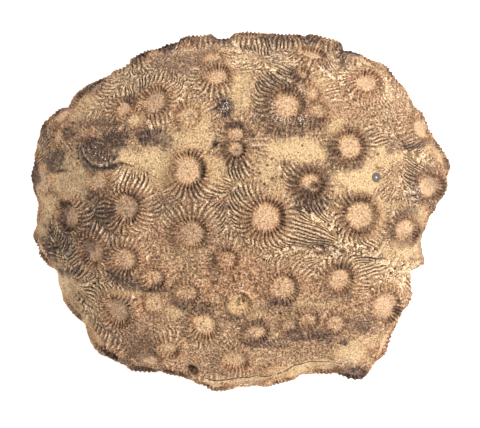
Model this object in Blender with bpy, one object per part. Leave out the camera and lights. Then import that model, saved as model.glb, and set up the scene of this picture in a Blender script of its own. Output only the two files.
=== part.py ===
"""A fossil coral head: one domed piece of limestone, cut flat at its foot.

The head carries the cups (calices) of its coral animals. Each cup is a round floor
sunk in a low mound, inside a rim of teeth, and ridges run down the mound from the
teeth. Everything is one skin of triangles over a domed form, closed by the flat cut.

The skin is laid out on a flat map before it is lifted onto the dome. A place on the
map is a bearing around the crown and a true distance down the surface from it, so
what is spaced evenly on the map is spaced evenly on the stone.
"""

import math

import bmesh
import bpy
import numpy as np
from mathutils import Vector, noise
from mathutils.geometry import delaunay_2d_cdt

MM = 0.001  # every size below is in millimetres; the mesh is in metres

# The domed form.
CROWN_HEIGHT = 64.0
WAIST_HEIGHT = 17.0  # height of the widest contour
CROWN_AT = np.array([0.0, 18.0])  # plan place of the highest point
BACK_POWER = 3.0  # profile exponent on the steep +Y side: flat crown, quick fall
FRONT_POWER = 2.35  # and on the long slope of the -Y side
FOOT_TUCK = 0.07  # how far the foot draws in under the waist, as a share of its reach
TUCK_ANGLE = math.radians(62.0)  # how far round the wall curls before the cut
MOUND_ALLOWANCE = 1.0  # the outline is taken over the mounds, which stand out from it
WEAR_ARC = 16.0  # degrees over which chips in the outline are smoothed away
CHIPPED_FROM = 0.62  # share of the reach where the chips begin to show
LUMPS = [(17.0, 1.1), (6.0, 0.45)]  # width and height of the broad and the small lumps

# The widest contour, seen from above, clockwise from the left. Between mounds it is
# the valley floor, and where the head is broken it is the line of the break.
WAIST_OUTLINE = [
    (-75.4, 13.1), (-74.3, 19.3), (-74.0, 25.7), (-71.5, 31.1), (-68.6, 33.3),
    (-65.7, 36.0), (-62.1, 37.3), (-59.6, 41.6), (-54.2, 45.6), (-47.0, 48.6),
    (-42.7, 51.3), (-37.3, 56.0), (-34.0, 57.4), (-29.0, 58.6), (-21.8, 60.7),
    (-14.6, 61.4), (-10.3, 61.6), (-2.3, 62.0), (4.1, 62.6), (9.9, 62.3),
    (16.0, 62.0), (22.1, 61.6), (27.5, 61.2), (33.7, 59.4), (37.6, 57.3),
    (40.8, 57.2), (46.3, 54.8), (52.6, 51.6), (56.8, 47.0), (62.0, 40.2),
    (61.7, 37.3), (65.9, 33.8), (68.2, 27.5), (71.8, 22.9), (73.6, 19.6),
    (75.6, 16.4), (74.3, 8.5), (72.2, 4.1), (68.2, -0.9), (67.2, -5.9),
    (66.4, -12.1), (67.0, -19.2), (61.7, -22.0), (61.0, -25.4), (61.4, -30.8),
    (57.8, -37.6), (54.2, -44.8), (52.4, -50.2), (48.4, -56.0), (43.0, -60.1),
    (40.1, -59.9), (35.1, -58.1), (26.8, -58.3), (20.7, -60.6), (10.6, -62.6),
    (-0.9, -64.4), (-9.5, -64.8), (-13.5, -62.1), (-21.1, -59.2), (-29.7, -57.6),
    (-39.8, -57.6), (-43.4, -55.6), (-50.9, -52.0), (-53.3, -49.9), (-55.0, -47.0),
    (-57.4, -42.2), (-61.5, -38.0), (-65.0, -32.6), (-67.2, -26.8), (-67.6, -21.8),
    (-70.7, -18.9), (-73.3, -14.9), (-74.3, -10.3), (-73.1, -2.3), (-72.7, 2.3),
    (-74.3, 7.7),
]

# Broad swells and hollows: plan x, plan y, reach, height.
SWELLS = [
    (-60.0, 16.5, 8.0, -2.2),  # silted hollow on the left
    (-41.0, -5.0, 10.0, 1.6),  # brow above the left slope
    (-62.0, -14.0, 8.0, -1.6),
    (-60.0, -37.0, 8.0, -1.4),  # broken facet at the lower left
    (10.0, 25.0, 12.0, -0.8),
    (56.0, -14.0, 8.0, -1.2),
    (22.0, -47.0, 10.0, -1.3),  # trough above the front lip
]

# Cups seen on the dome: plan x, plan y, radius of the floor, state of wear.
CUPS = [
    (-34.5, 54.5, 2.8, "open"), (-51.5, 44.0, 3.2, "faint"), (-60.0, 40.0, 2.4, "silted"),
    (-63.0, 34.0, 3.2, "silted"), (-65.5, 27.0, 2.6, "faint"), (-55.0, 28.5, 1.8, "faint"),
    (-41.0, 36.0, 2.6, "faint"), (-30.0, 38.5, 4.4, "open"), (-37.0, 32.0, 1.8, "silted"),
    (-10.0, 54.5, 3.0, "faint"), (-8.0, 47.5, 3.6, "open"), (-18.0, 33.5, 3.2, "faint"),
    (-1.5, 27.4, 2.4, "faint"), (-1.5, 22.0, 2.7, "open"), (16.5, 37.5, 4.7, "open"),
    (22.0, 47.5, 1.8, "open"), (25.5, 41.5, 2.2, "faint"), (25.5, 55.0, 3.8, "open"),
    (44.0, 45.5, 4.0, "open"), (27.5, 35.5, 2.6, "faint"), (45.0, 53.0, 2.6, "faint"),
    (38.5, 23.0, 4.4, "open"), (64.0, 29.5, 3.6, "open"), (67.0, 9.0, 3.7, "open"),
    (59.0, -6.5, 3.6, "open"), (42.5, -1.5, 5.0, "open"), (-70.0, 10.5, 4.0, "silted"),
    (-50.5, 11.0, 3.2, "silted"), (-60.5, -1.5, 4.6, "open"), (-40.0, 1.5, 4.6, "open"),
    (-52.0, -14.0, 4.4, "open"), (-40.0, -16.5, 4.0, "open"), (-18.5, 14.5, 5.0, "open"),
    (9.0, -2.0, 5.2, "open"), (-17.0, -7.5, 4.4, "open"), (-4.0, -16.5, 2.8, "open"),
    (25.0, 10.0, 3.5, "open"), (35.0, -24.0, 4.0, "open"), (51.5, -33.5, 4.4, "open"),
    (-43.5, -35.0, 5.0, "open"), (-30.0, -32.5, 2.6, "silted"), (-30.0, -23.0, 3.2, "open"),
    (-46.0, -50.0, 2.6, "open"), (-33.0, -52.0, 3.2, "silted"), (-18.0, -28.5, 3.2, "open"),
    (-12.5, -40.0, 4.0, "open"), (-25.0, -48.0, 3.2, "open"), (-1.5, -52.5, 4.0, "open"),
    (0.0, -32.0, 3.2, "open"), (6.0, -42.5, 3.2, "open"), (12.5, -57.5, 3.2, "silted"),
    (-9.0, -31.0, 2.6, "faint"), (15.0, -27.0, 4.6, "open"), (24.5, -38.5, 2.8, "open"),
    (34.0, -40.0, 3.2, "faint"), (18.0, -41.0, 2.4, "faint"), (39.5, -51.0, 4.8, "silted"),
    # The row that stands up along the back edge.
    (-15.3, 59.9, 3.8, "proud"), (-6.0, 60.3, 2.6, "faint"), (3.8, 60.9, 4.4, "proud"),
    (16.0, 60.6, 4.2, "proud"), (29.3, 59.2, 3.8, "proud"), (40.1, 55.2, 2.6, "faint"),
]

# Cups on the flanks, which run round the whole head: height, spacing, radius, wear.
FLANK_ROWS = [(25.5, 17.0, 4.0, "flank"), (9.5, 19.0, 3.6, "buried")]
FLANK_SCATTER = np.array([4.5, 3.5, 0.7])  # in height, along the row, and in radius
FLANK_CLEARANCE = 1.9  # least distance between cups' centres, in floor radii

# Relief of a cup by its wear: rise of the mound, depth of the floor, height of teeth.
RELIEF = {
    "proud": (3.2, 1.9, 0.7),
    "open": (2.6, 2.1, 0.65),
    "faint": (1.3, 1.0, 0.4),
    "silted": (1.4, 0.6, 0.2),
    "flank": (1.4, 1.7, 0.6),
    "buried": (0.9, 1.2, 0.35),
}
FLOOR_RING = 0.8  # the cup's rings, in floor radii
RIM_RING = 1.18
FLANK_RING = 1.7
SKIRT_RING = 2.3
MOUND_SPREAD = 2.4
PLAIN_FROM = 1.85  # plain stone is filled in beyond this many floor radii
OVERLAP = 0.12  # how far a ring may reach past the halfway line to the next cup
FLOOR_DISH = 0.85  # depth of the floor's middle, as a share of the depth at its edge
RIM_SHARE = 0.6  # share of the teeth's height that stands above the rim
RIDGE_HEIGHT = 0.6  # ridges and grooves down the mound
TOOTH_SPACING = 1.85  # along the rim, tooth to gap

# A round hole bored into the lower edge: plan x, plan y, radius, depth. Its rings give
# the share of the radius, the share of the depth and the number of points.
BORING = (-17.1, -56.7, 2.0, 4.0)
BORING_RINGS = [(0.0, 1.0, 1), (0.7, 0.8, 7), (1.1, 0.0, 9)]
BORING_CLEARANCE = 1.5  # nothing else comes nearer than this many radii

# Ledges: the ground to the left of the path stands higher by the height, and falls
# back to the level over the fade.
LEDGES = [
    ([(-57.5, 23.0), (-55.6, 19.4), (-52.6, 16.6), (-49.5, 15.9), (-46.3, 16.6),
      (-42.5, 17.8), (-38.0, 16.4)], 2.0, 7.0),
    ([(-9.0, -58.0), (3.0, -57.6), (15.0, -55.6), (27.0, -54.6), (35.0, -55.5),
      (43.0, -54.5)], 1.5, 5.0),
]
LEDGE_HALF_WIDTH = 0.6
LEDGE_ROW = 0.72  # distance of the rows of points on the brow and at the toe
LEDGE_GAP = 0.9  # least distance between those points
LEDGE_TAPER = 0.2  # share of the path over which each end dies away

FOOT_COLUMNS = 108  # corners of the flat cut
FILL_SPACING = 5.0  # between the points of the plain stone
FILL_SCATTER = 0.25  # how far they stray from even rows, in spacings
FILL_GAP = 3.0  # least distance from them to any point
FOOT_FADE = 4.0  # the relief dies away over this distance above the cut
LEAST_GAP = 1.2  # between any two points of the cups' rings
SEED = 7

BEARING_STEP = 5.0
PROFILE_STEPS = 160
FOOT = 1.25  # share along the profile: 0 crown, 1 waist, FOOT the cut


def smooth_step(value):
    value = np.clip(value, 0.0, 1.0)
    return value * value * (3.0 - 2.0 * value)


def outline_reach(bearing):
    """Distance from the crown's axis to the widest contour, at a bearing in degrees."""
    away = np.array(WAIST_OUTLINE) - CROWN_AT
    bearings = np.degrees(np.arctan2(away[:, 1], away[:, 0]))
    distances = np.hypot(away[:, 0], away[:, 1]) - MOUND_ALLOWANCE
    return np.interp(bearing, bearings, distances, period=360.0)


def worn_reach(bearing):
    """The same contour with its chips and corners smoothed away."""
    turns = np.linspace(-WEAR_ARC, WEAR_ARC, 17)
    return np.mean([outline_reach(bearing + turn) for turn in turns], axis=0)


def reach(bearing, along):
    chipped = smooth_step((along - CHIPPED_FROM) / (1.0 - CHIPPED_FROM))
    return worn_reach(bearing) * (1.0 - chipped) + outline_reach(bearing) * chipped


def dome_point(bearing, along):
    """A place on the plain dome, from its bearing and its share along the profile."""
    back = 0.5 + 0.5 * np.sin(np.radians(bearing))
    power = FRONT_POWER + (BACK_POWER - FRONT_POWER) * back
    out = np.sin(np.clip(along, 0.0, 1.0) * math.pi / 2.0)
    height = WAIST_HEIGHT + (CROWN_HEIGHT - WAIST_HEIGHT) * np.sqrt(1.0 - out**power)
    tuck = np.clip((along - 1.0) / (FOOT - 1.0), 0.0, 1.0) * TUCK_ANGLE
    out = out - FOOT_TUCK * (1.0 - np.cos(tuck)) / (1.0 - math.cos(TUCK_ANGLE))
    height = height - WAIST_HEIGHT * np.sin(tuck) / math.sin(TUCK_ANGLE)
    distance = out * reach(bearing, along)
    x = CROWN_AT[0] + distance * np.cos(np.radians(bearing))
    y = CROWN_AT[1] + distance * np.sin(np.radians(bearing))
    return np.stack([x, y, height], axis=-1)


def profile_tables():
    """Distance down the surface by share along the profile, and the reverse."""
    bearings = np.arange(0.0, 360.0, BEARING_STEP)
    shares = np.linspace(0.0, FOOT, PROFILE_STEPS)
    places = dome_point(bearings[:, None], shares[None, :])
    steps = np.linalg.norm(np.diff(places, axis=1), axis=2)
    lengths = np.concatenate([np.zeros((len(bearings), 1)), np.cumsum(steps, axis=1)], axis=1)
    even = np.linspace(0.0, 1.0, PROFILE_STEPS)
    back = np.array([np.interp(even * row[-1], row, shares) for row in lengths])
    return lengths, back


def read_table(table, bearing, share):
    """Reads a table of bearings by shares (0 to 1), between its entries."""
    row = np.mod(bearing, 360.0) / BEARING_STEP
    column = np.clip(share, 0.0, 1.0) * (table.shape[1] - 1)
    low, left = np.floor(row).astype(int), np.minimum(column.astype(int), table.shape[1] - 2)
    up, right = row - low, column - left
    low, high = low % len(table), (low + 1) % len(table)
    near = table[low, left] * (1.0 - right) + table[low, left + 1] * right
    far = table[high, left] * (1.0 - right) + table[high, left + 1] * right
    return near * (1.0 - up) + far * up


LENGTHS, SHARES = profile_tables()


def full_length(bearing):
    return read_table(LENGTHS, bearing, np.ones_like(bearing))


def to_map(bearing, along):
    length = read_table(LENGTHS, bearing, along / FOOT)
    turn = np.radians(bearing)
    return np.stack([length * np.cos(turn), length * np.sin(turn)], axis=-1)


def map_from_plan(x, y):
    """Map place of a point on the dome that is given by its place seen from above."""
    across, up = x - CROWN_AT[0], y - CROWN_AT[1]
    bearing, distance = np.degrees(np.arctan2(up, across)), np.hypot(across, up)
    along = np.full_like(distance, 0.5)
    for _ in range(12):
        along = np.arcsin(np.clip(distance / reach(bearing, along), 0.0, 1.0)) * 2.0 / math.pi
    return to_map(bearing, along)


def plain_skin(places):
    """Lifts map places onto the plain dome."""
    bearing = np.degrees(np.arctan2(places[:, 1], places[:, 0]))
    share = np.hypot(places[:, 0], places[:, 1]) / full_length(bearing)
    return dome_point(bearing, read_table(SHARES, bearing, share))


def height_above_cut(places):
    """Distance up the surface from the edge of the flat cut."""
    bearing = np.degrees(np.arctan2(places[:, 1], places[:, 0]))
    return full_length(bearing) - np.hypot(places[:, 0], places[:, 1])


def outward(places):
    """Directions square to the plain dome, pointing out of it."""
    small = 0.3
    across = plain_skin(places + [small, 0.0]) - plain_skin(places - [small, 0.0])
    up = plain_skin(places + [0.0, small]) - plain_skin(places - [0.0, small])
    square = np.cross(across, up)
    return square / np.linalg.norm(square, axis=1)[:, None]


class Cup:
    """One coral cup: its centre on the map, its size, and its own two directions there."""

    def __init__(self, centre, radius, wear):
        self.centre, self.radius = centre, radius
        self.rise, self.depth, self.teeth = RELIEF[wear]
        distance = max(float(np.hypot(*centre)), 0.001)
        spot = plain_skin(centre[None, :])[0]
        self.down = centre / distance
        self.side = np.array([-self.down[1], self.down[0]])
        # Across the slope the map is wider than the stone, by this much.
        self.stretch = distance / max(float(np.hypot(*(spot[:2] - CROWN_AT))), 0.001)

    def ratio(self, places):
        """Distances from the centre, in floor radii."""
        away = places - self.centre
        return np.hypot(away @ self.down, away @ self.side / self.stretch) / self.radius

    def ring(self, ratio, count):
        turn = np.arange(count) * 2.0 * math.pi / count
        down = np.cos(turn)[:, None] * self.down
        side = np.sin(turn)[:, None] * self.side * self.stretch
        return self.centre + (down + side) * self.radius * ratio


def seen_cups():
    table = np.array([cup[:2] for cup in CUPS])
    places = map_from_plan(table[:, 0], table[:, 1])
    return [Cup(place, cup[2], cup[3]) for place, cup in zip(places, CUPS)]


def row_around(height):
    """Bearings, shares and distances run along a level line round the head."""
    bearings = np.arange(0.0, 360.0, 1.0)
    shares = np.linspace(0.5, FOOT, 200)
    depths = -dome_point(bearings[:, None], shares[None, :])[:, :, 2]
    alongs = np.array([np.interp(-height, depth, shares) for depth in depths])
    path = dome_point(bearings, alongs)
    steps = np.linalg.norm(np.diff(path, axis=0), axis=1)
    return bearings, alongs, np.concatenate([[0.0], np.cumsum(steps)])


def flank_cups(seen, rng):
    """Rows of cups round the flanks, left out wherever another cup is too near."""
    cups = []
    for row, (level, spacing, size, wear) in enumerate(FLANK_ROWS):
        travelled = row_around(level)[2]
        for start in np.arange(0.5 * row * spacing, travelled[-1], spacing):
            up, sideways, wider = rng.uniform(-1.0, 1.0, 3) * FLANK_SCATTER
            bearings, alongs, lengths = row_around(level + up)
            bearing = np.interp(start + sideways, lengths, bearings)
            along = np.interp(bearing, bearings, alongs)
            centre = to_map(np.array([bearing]), np.array([along]))[0]
            cup = Cup(centre, size + wider, wear)
            others = seen + cups
            gaps = [cup.ratio(other.centre[None, :])[0] * cup.radius for other in others]
            needs = [FLANK_CLEARANCE * 0.5 * (cup.radius + other.radius) for other in others]
            if np.all(np.array(gaps) > np.array(needs)):
                cups.append(cup)
    return cups


def ledge_rise(places):
    """Rise of the ground beside each ledge, with the paths given in plan."""
    total = np.zeros(len(places))
    for path, height, fade in LEDGES:
        corners = map_from_plan(*np.array(path).T)
        start, run = corners[:-1], np.diff(corners, axis=0)
        away = places[:, None, :] - start[None, :, :]
        part = np.clip((away * run).sum(2) / (run * run).sum(1), 0.0, 1.0)
        offset = away - part[:, :, None] * run
        gap = np.hypot(offset[:, :, 0], offset[:, :, 1])
        nearest = gap.argmin(axis=1)
        pick = np.arange(len(places))
        side = run[nearest, 0] * away[pick, nearest, 1] - run[nearest, 1] * away[pick, nearest, 0]
        signed = np.sign(side) * gap[pick, nearest]
        progress = (nearest + part[pick, nearest]) / len(run)
        taper = smooth_step(progress / LEDGE_TAPER) * smooth_step((1.0 - progress) / LEDGE_TAPER)
        edge = smooth_step(0.5 + signed / (2.0 * LEDGE_HALF_WIDTH))
        total += height * taper * edge * np.exp(-np.maximum(signed, 0.0) / fade)
    return total


def ground_rise(places, cups):
    """Height of the ground over the plain dome, without the cups' own pits and teeth."""
    spots = plain_skin(places)
    rise = np.zeros(len(places))
    for width, height in LUMPS:
        rise += height * np.array([noise.noise(Vector(spot / width)) for spot in spots])
    for x, y, width, height in SWELLS:
        away = np.hypot(spots[:, 0] - x, spots[:, 1] - y)
        rise += height * np.exp(-0.5 * (away / width) ** 2)
    rise += ledge_rise(places)
    mound = np.zeros(len(places))
    for cup in cups:
        slope = (cup.ratio(places) - RIM_RING) / (MOUND_SPREAD - RIM_RING)
        mound = np.maximum(mound, cup.rise * (1.0 - smooth_step(slope)))
    return rise + mound


def cup_points(cup):
    """Map places of one cup's points, and the height each adds to the ground."""
    count = 2 * max(4, round(math.pi * cup.radius * RIM_RING / TOOTH_SPACING))
    tooth = np.where(np.arange(count) % 2 == 0, 1.0, -1.0)
    floor_count = max(5, count // 2)
    ridge = tooth * min(cup.teeth, RIDGE_HEIGHT)
    rings = [
        (0.0, np.full(1, -FLOOR_DISH * cup.depth)),
        (FLOOR_RING, np.full(floor_count, -cup.depth)),
        (RIM_RING, tooth * cup.teeth * RIM_SHARE),
        (FLANK_RING, ridge),
        (SKIRT_RING, ridge),
    ]
    places = np.concatenate([cup.ring(ratio, len(heights)) for ratio, heights in rings])
    heights = np.concatenate([heights for _ratio, heights in rings])
    ratios = np.concatenate([np.full(len(heights), ratio) for ratio, heights in rings])
    return places, heights, ratios


def boring_points():
    x, y, radius, depth = BORING
    hole = Cup(map_from_plan(np.array([x]), np.array([y]))[0], radius, "open")
    places = np.concatenate([hole.ring(share, count) for share, _deep, count in BORING_RINGS])
    heights = np.concatenate([np.full(count, -depth * deep) for _s, deep, count in BORING_RINGS])
    return hole, places, heights


def ledge_points():
    """Two rows of points along each ledge, one on its brow and one at its toe."""
    rows = []
    for path, _height, _fade in LEDGES:
        corners = map_from_plan(*np.array(path).T)
        run = np.gradient(corners, axis=0)
        left = np.stack([-run[:, 1], run[:, 0]], axis=1) / np.hypot(*run.T)[:, None]
        rows += [corners + left * LEDGE_ROW, corners - left * LEDGE_ROW]
    return np.concatenate(rows)


def fill_points(rng):
    """Loosely even points over the whole map, ring by ring down from the crown."""
    rows = [np.zeros((1, 2))]
    bearings = np.arange(0.0, 360.0, 1.0)
    longest = full_length(bearings).max()
    for row, length in enumerate(np.arange(FILL_SPACING, longest, FILL_SPACING)):
        circle = length * np.stack([np.cos(np.radians(bearings)), np.sin(np.radians(bearings))], 1)
        spots = plain_skin(circle)
        around = np.linalg.norm(spots - np.roll(spots, 1, axis=0), axis=1).sum()
        count = int(around / FILL_SPACING)
        turn = 2.0 * math.pi * (np.arange(count) + 0.5 * (row % 2)) / count
        places = length * np.stack([np.cos(turn), np.sin(turn)], axis=1)
        scatter = rng.uniform(-FILL_SCATTER, FILL_SCATTER, places.shape)
        rows.append(places + scatter * FILL_SPACING)
    places = np.concatenate(rows)
    return places[height_above_cut(places) > 0.5 * FILL_SPACING]


class Skin:
    """The points of the skin, kept apart from each other on the stone itself."""

    def __init__(self, cups):
        self.cups = cups
        self.places, self.heights, self.spots = np.zeros((0, 2)), np.zeros(0), np.zeros((0, 3))

    def add(self, places, extra, gap):
        above_cut = height_above_cut(places)
        heights = (ground_rise(places, self.cups) + extra) * smooth_step(above_cut / FOOT_FADE)
        spots = plain_skin(places)
        for place, height, spot, above in zip(places, heights, spots, above_cut):
            near = np.linalg.norm(self.spots - spot, axis=1).min(initial=2.0 * gap)
            if near >= gap and above > LEAST_GAP:
                self.places = np.vstack([self.places, place])
                self.heights = np.append(self.heights, height)
                self.spots = np.vstack([self.spots, spot])


def lay_out_skin():
    """All points of the skin above the cut, in order of importance."""
    rng = np.random.default_rng(SEED)
    seen = seen_cups()
    cups = seen + flank_cups(seen, rng)
    skin = Skin(cups)
    hole, places, heights = boring_points()
    skin.add(places, heights, 0.0)
    skin.add(ledge_points(), 0.0, LEDGE_GAP)
    for cup in cups:
        places, heights, ratios = cup_points(cup)
        others = np.array([other.ratio(places) for other in cups if other is not cup])
        own = ratios <= others.min(axis=0) + OVERLAP
        own = own & (hole.ratio(places) > BORING_CLEARANCE)
        skin.add(places[own], heights[own], LEAST_GAP)
    fill = fill_points(rng)
    nearest = np.array([cup.ratio(fill) for cup in cups]).min(axis=0)
    skin.add(fill[nearest > PLAIN_FROM], 0.0, FILL_GAP)
    return skin


def foot_line():
    """The edge of the flat cut, on the map and on the stone."""
    bearings = np.arange(FOOT_COLUMNS) * 360.0 / FOOT_COLUMNS
    alongs = np.full(FOOT_COLUMNS, FOOT)
    corners = dome_point(bearings, alongs)
    corners[:, 2] = 0.0
    return to_map(bearings, alongs), corners


def build_mesh():
    """Joins the points into triangles on the map, lifts them, and closes the foot."""
    skin = lay_out_skin()
    foot_map, foot = foot_line()
    spots = plain_skin(skin.places) + outward(skin.places) * skin.heights[:, None]
    flat = np.concatenate([foot_map, skin.places])
    lifted = np.concatenate([foot, spots])
    lowest, highest = lifted.min(axis=0), lifted.max(axis=0)
    lifted[:, :2] -= (lowest[:2] + highest[:2]) / 2.0
    loop = list(range(FOOT_COLUMNS))
    inside_loop = 1
    _corners, _edges, faces, origins, _e, _f = delaunay_2d_cdt(
        [Vector(place) for place in flat.tolist()], [], [loop], inside_loop, 1e-5
    )
    mesh = bmesh.new()
    verts = [mesh.verts.new(lifted[origin[0]] * MM) for origin in origins]
    for face in faces:
        mesh.faces.new([verts[corner] for corner in face])
    home = {origin[0]: vert for origin, vert in zip(origins, verts)}
    mesh.faces.new([home[corner] for corner in reversed(loop)])
    data = bpy.data.meshes.new("coral_head")
    mesh.to_mesh(data)
    mesh.free()
    return data


def limestone():
    """Fossil limestone, tan with a brown stain in the grooves."""
    material = bpy.data.materials.new("tan_limestone")
    material.use_nodes = True
    shader = material.node_tree.nodes["Principled BSDF"]
    shader.inputs["Base Color"].default_value = (0.45, 0.31, 0.18, 1.0)
    shader.inputs["Roughness"].default_value = 0.9
    shader.inputs["Metallic"].default_value = 0.0
    return material


def main():
    for old in list(bpy.data.objects):
        bpy.data.objects.remove(old, do_unlink=True)
    group = bpy.data.collections.new("fossil_coral_head")
    bpy.context.scene.collection.children.link(group)
    head = bpy.data.objects.new("coral_head", build_mesh())
    head.data.materials.append(limestone())
    group.objects.link(head)


main()
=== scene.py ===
# %% [markdown]
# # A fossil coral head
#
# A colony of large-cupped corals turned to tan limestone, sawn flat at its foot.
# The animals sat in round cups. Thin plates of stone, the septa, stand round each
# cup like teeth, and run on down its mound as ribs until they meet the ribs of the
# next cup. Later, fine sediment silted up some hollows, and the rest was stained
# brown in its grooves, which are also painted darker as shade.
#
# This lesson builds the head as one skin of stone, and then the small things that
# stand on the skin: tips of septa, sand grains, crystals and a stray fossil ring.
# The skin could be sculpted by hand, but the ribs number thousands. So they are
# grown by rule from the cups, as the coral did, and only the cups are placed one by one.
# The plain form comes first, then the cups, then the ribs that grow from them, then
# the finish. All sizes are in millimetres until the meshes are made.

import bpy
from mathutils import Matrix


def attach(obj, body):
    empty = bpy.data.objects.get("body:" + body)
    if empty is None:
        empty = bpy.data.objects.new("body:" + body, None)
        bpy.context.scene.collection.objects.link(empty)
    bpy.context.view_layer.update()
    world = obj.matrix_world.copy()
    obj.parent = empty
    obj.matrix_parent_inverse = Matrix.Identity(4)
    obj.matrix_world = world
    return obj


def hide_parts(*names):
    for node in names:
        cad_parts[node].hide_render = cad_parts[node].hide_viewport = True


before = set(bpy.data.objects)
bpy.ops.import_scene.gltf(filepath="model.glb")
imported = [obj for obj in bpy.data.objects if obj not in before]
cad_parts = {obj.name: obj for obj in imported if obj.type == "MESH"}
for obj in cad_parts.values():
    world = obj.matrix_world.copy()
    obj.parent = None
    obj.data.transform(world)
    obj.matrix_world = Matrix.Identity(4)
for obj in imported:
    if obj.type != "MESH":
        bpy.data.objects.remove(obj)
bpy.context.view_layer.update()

# %% Helpers used throughout
import math
import time

import bpy
import numpy as np
from mathutils import Vector, kdtree, noise
from mathutils.geometry import delaunay_2d_cdt

MM = 0.001  # sizes are in millimetres, meshes in metres
STARTED = time.time()


def smooth_step(value):
    """0 below 0 and 1 above 1, with a soft rise between them."""
    value = np.clip(value, 0.0, 1.0)
    return value * value * (3.0 - 2.0 * value)


def ramp(value, start, width):
    """The same soft rise, over a width that begins at the start."""
    return smooth_step((value - start) / width)


def blend(low, high, share):
    """From low to high, by a share from 0 to 1."""
    return low + (high - low) * share


def tree_of(spots):
    """A search tree that finds the nearest of many places quickly."""
    tree = kdtree.KDTree(max(1, len(spots)))
    for number, spot in enumerate(spots.tolist()):
        tree.insert(spot, number)
    tree.balance()
    return tree


def noise_at(spots, size, seed=0.0):
    """Smooth noise from about -1 to 1 at each place, with lumps of this size in mm."""
    shift = np.array([seed * 17.3, seed * 5.1, seed * 9.7])
    return np.array([noise.noise(Vector(spot)) for spot in (spots / size + shift).tolist()])


print("a ramp from 2 over a width of 4 is at", ramp(3.0, 2.0, 4.0), "at 3")


# %% [markdown]
# ## The domed form
#
# The head is a dome with an off-centre crown: the side behind the crown falls
# quickly and the side before it slopes gently. The outline of such a stone follows
# no rule, so it is given as measured points. Down from the crown each bearing
# follows one smooth profile, which curls in under the widest line to the sawn foot.
#
# The skin is laid out on a flat map before it is lifted onto the dome. A place on
# the map is a bearing round the crown and a true distance down the surface, so what
# is evenly spaced on the map is evenly spaced on the stone. These are the same
# values as the CAD solid has, so the skin lands exactly on it.

# %% Sizes of the dome
CROWN_HEIGHT = 64.0
WAIST_HEIGHT = 17.0  # height of the widest contour
CROWN_AT = np.array([0.0, 18.0])  # plan place of the highest point
BACK_POWER = 3.0  # profile exponent on the steep +Y side: flat crown, quick fall
FRONT_POWER = 2.35  # and on the long slope of the -Y side
FOOT_TUCK = 0.07  # how far the foot draws in under the waist, as a share of its reach
TUCK_ANGLE = math.radians(62.0)  # how far round the wall curls before the cut
MOUND_ALLOWANCE = 1.0  # the outline is taken over the mounds, which stand out from it
WEAR_ARC = 16.0  # degrees over which chips in the outline are smoothed away
WEAR_SAMPLES = 17  # bearings averaged over that arc
CHIPPED_FROM = 0.62  # share of the reach where the chips begin to show
FOOT = 1.25  # share along the profile: 0 crown, 1 waist, FOOT the cut
print("the crown stands", CROWN_HEIGHT - WAIST_HEIGHT, "mm above the widest contour")

# %% The widest contour
# Seen from above, clockwise from the left. Between mounds it is the valley floor,
# and where the head is broken it is the line of the break.
WAIST_OUTLINE = [
    (-75.4, 13.1), (-74.3, 19.3), (-74.0, 25.7), (-71.5, 31.1), (-68.6, 33.3),
    (-65.7, 36.0), (-62.1, 37.3), (-59.6, 41.6), (-54.2, 45.6), (-47.0, 48.6),
    (-42.7, 51.3), (-37.3, 56.0), (-34.0, 57.4), (-29.0, 58.6), (-21.8, 60.7),
    (-14.6, 61.4), (-10.3, 61.6), (-2.3, 62.0), (4.1, 62.6), (9.9, 62.3),
    (16.0, 62.0), (22.1, 61.6), (27.5, 61.2), (33.7, 59.4), (37.6, 57.3),
    (40.8, 57.2), (46.3, 54.8), (52.6, 51.6), (56.8, 47.0), (62.0, 40.2),
    (61.7, 37.3), (65.9, 33.8), (68.2, 27.5), (71.8, 22.9), (73.6, 19.6),
    (75.6, 16.4), (74.3, 8.5), (72.2, 4.1), (68.2, -0.9), (67.2, -5.9),
    (66.4, -12.1), (67.0, -19.2), (61.7, -22.0), (61.0, -25.4), (61.4, -30.8),
    (57.8, -37.6), (54.2, -44.8), (52.4, -50.2), (48.4, -56.0), (43.0, -60.1),
    (40.1, -59.9), (35.1, -58.1), (26.8, -58.3), (20.7, -60.6), (10.6, -62.6),
    (-0.9, -64.4), (-9.5, -64.8), (-13.5, -62.1), (-21.1, -59.2), (-29.7, -57.6),
    (-39.8, -57.6), (-43.4, -55.6), (-50.9, -52.0), (-53.3, -49.9), (-55.0, -47.0),
    (-57.4, -42.2), (-61.5, -38.0), (-65.0, -32.6), (-67.2, -26.8), (-67.6, -21.8),
    (-70.7, -18.9), (-73.3, -14.9), (-74.3, -10.3), (-73.1, -2.3), (-72.7, 2.3),
    (-74.3, 7.7),
]
print(len(WAIST_OUTLINE), "points on the widest contour")


# %% Reach at a bearing
def outline_reach(bearing):
    """Distance from the crown's axis to the widest contour, at a bearing in degrees."""
    away = np.array(WAIST_OUTLINE) - CROWN_AT
    bearings = np.degrees(np.arctan2(away[:, 1], away[:, 0]))
    distances = np.hypot(away[:, 0], away[:, 1]) - MOUND_ALLOWANCE
    return np.interp(bearing, bearings, distances, period=360.0)


def worn_reach(bearing):
    """The same contour with its chips and corners smoothed away."""
    turns = np.linspace(-WEAR_ARC, WEAR_ARC, WEAR_SAMPLES)
    return np.mean([outline_reach(bearing + turn) for turn in turns], axis=0)


def reach(bearing, along):
    """Reach of the dome, worn near the crown and chipped near the widest contour."""
    chipped = ramp(along, CHIPPED_FROM, 1.0 - CHIPPED_FROM)
    return worn_reach(bearing) * (1.0 - chipped) + outline_reach(bearing) * chipped


print("reach to the front, mm:", round(float(reach(-90.0, 1.0)), 1))


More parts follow.
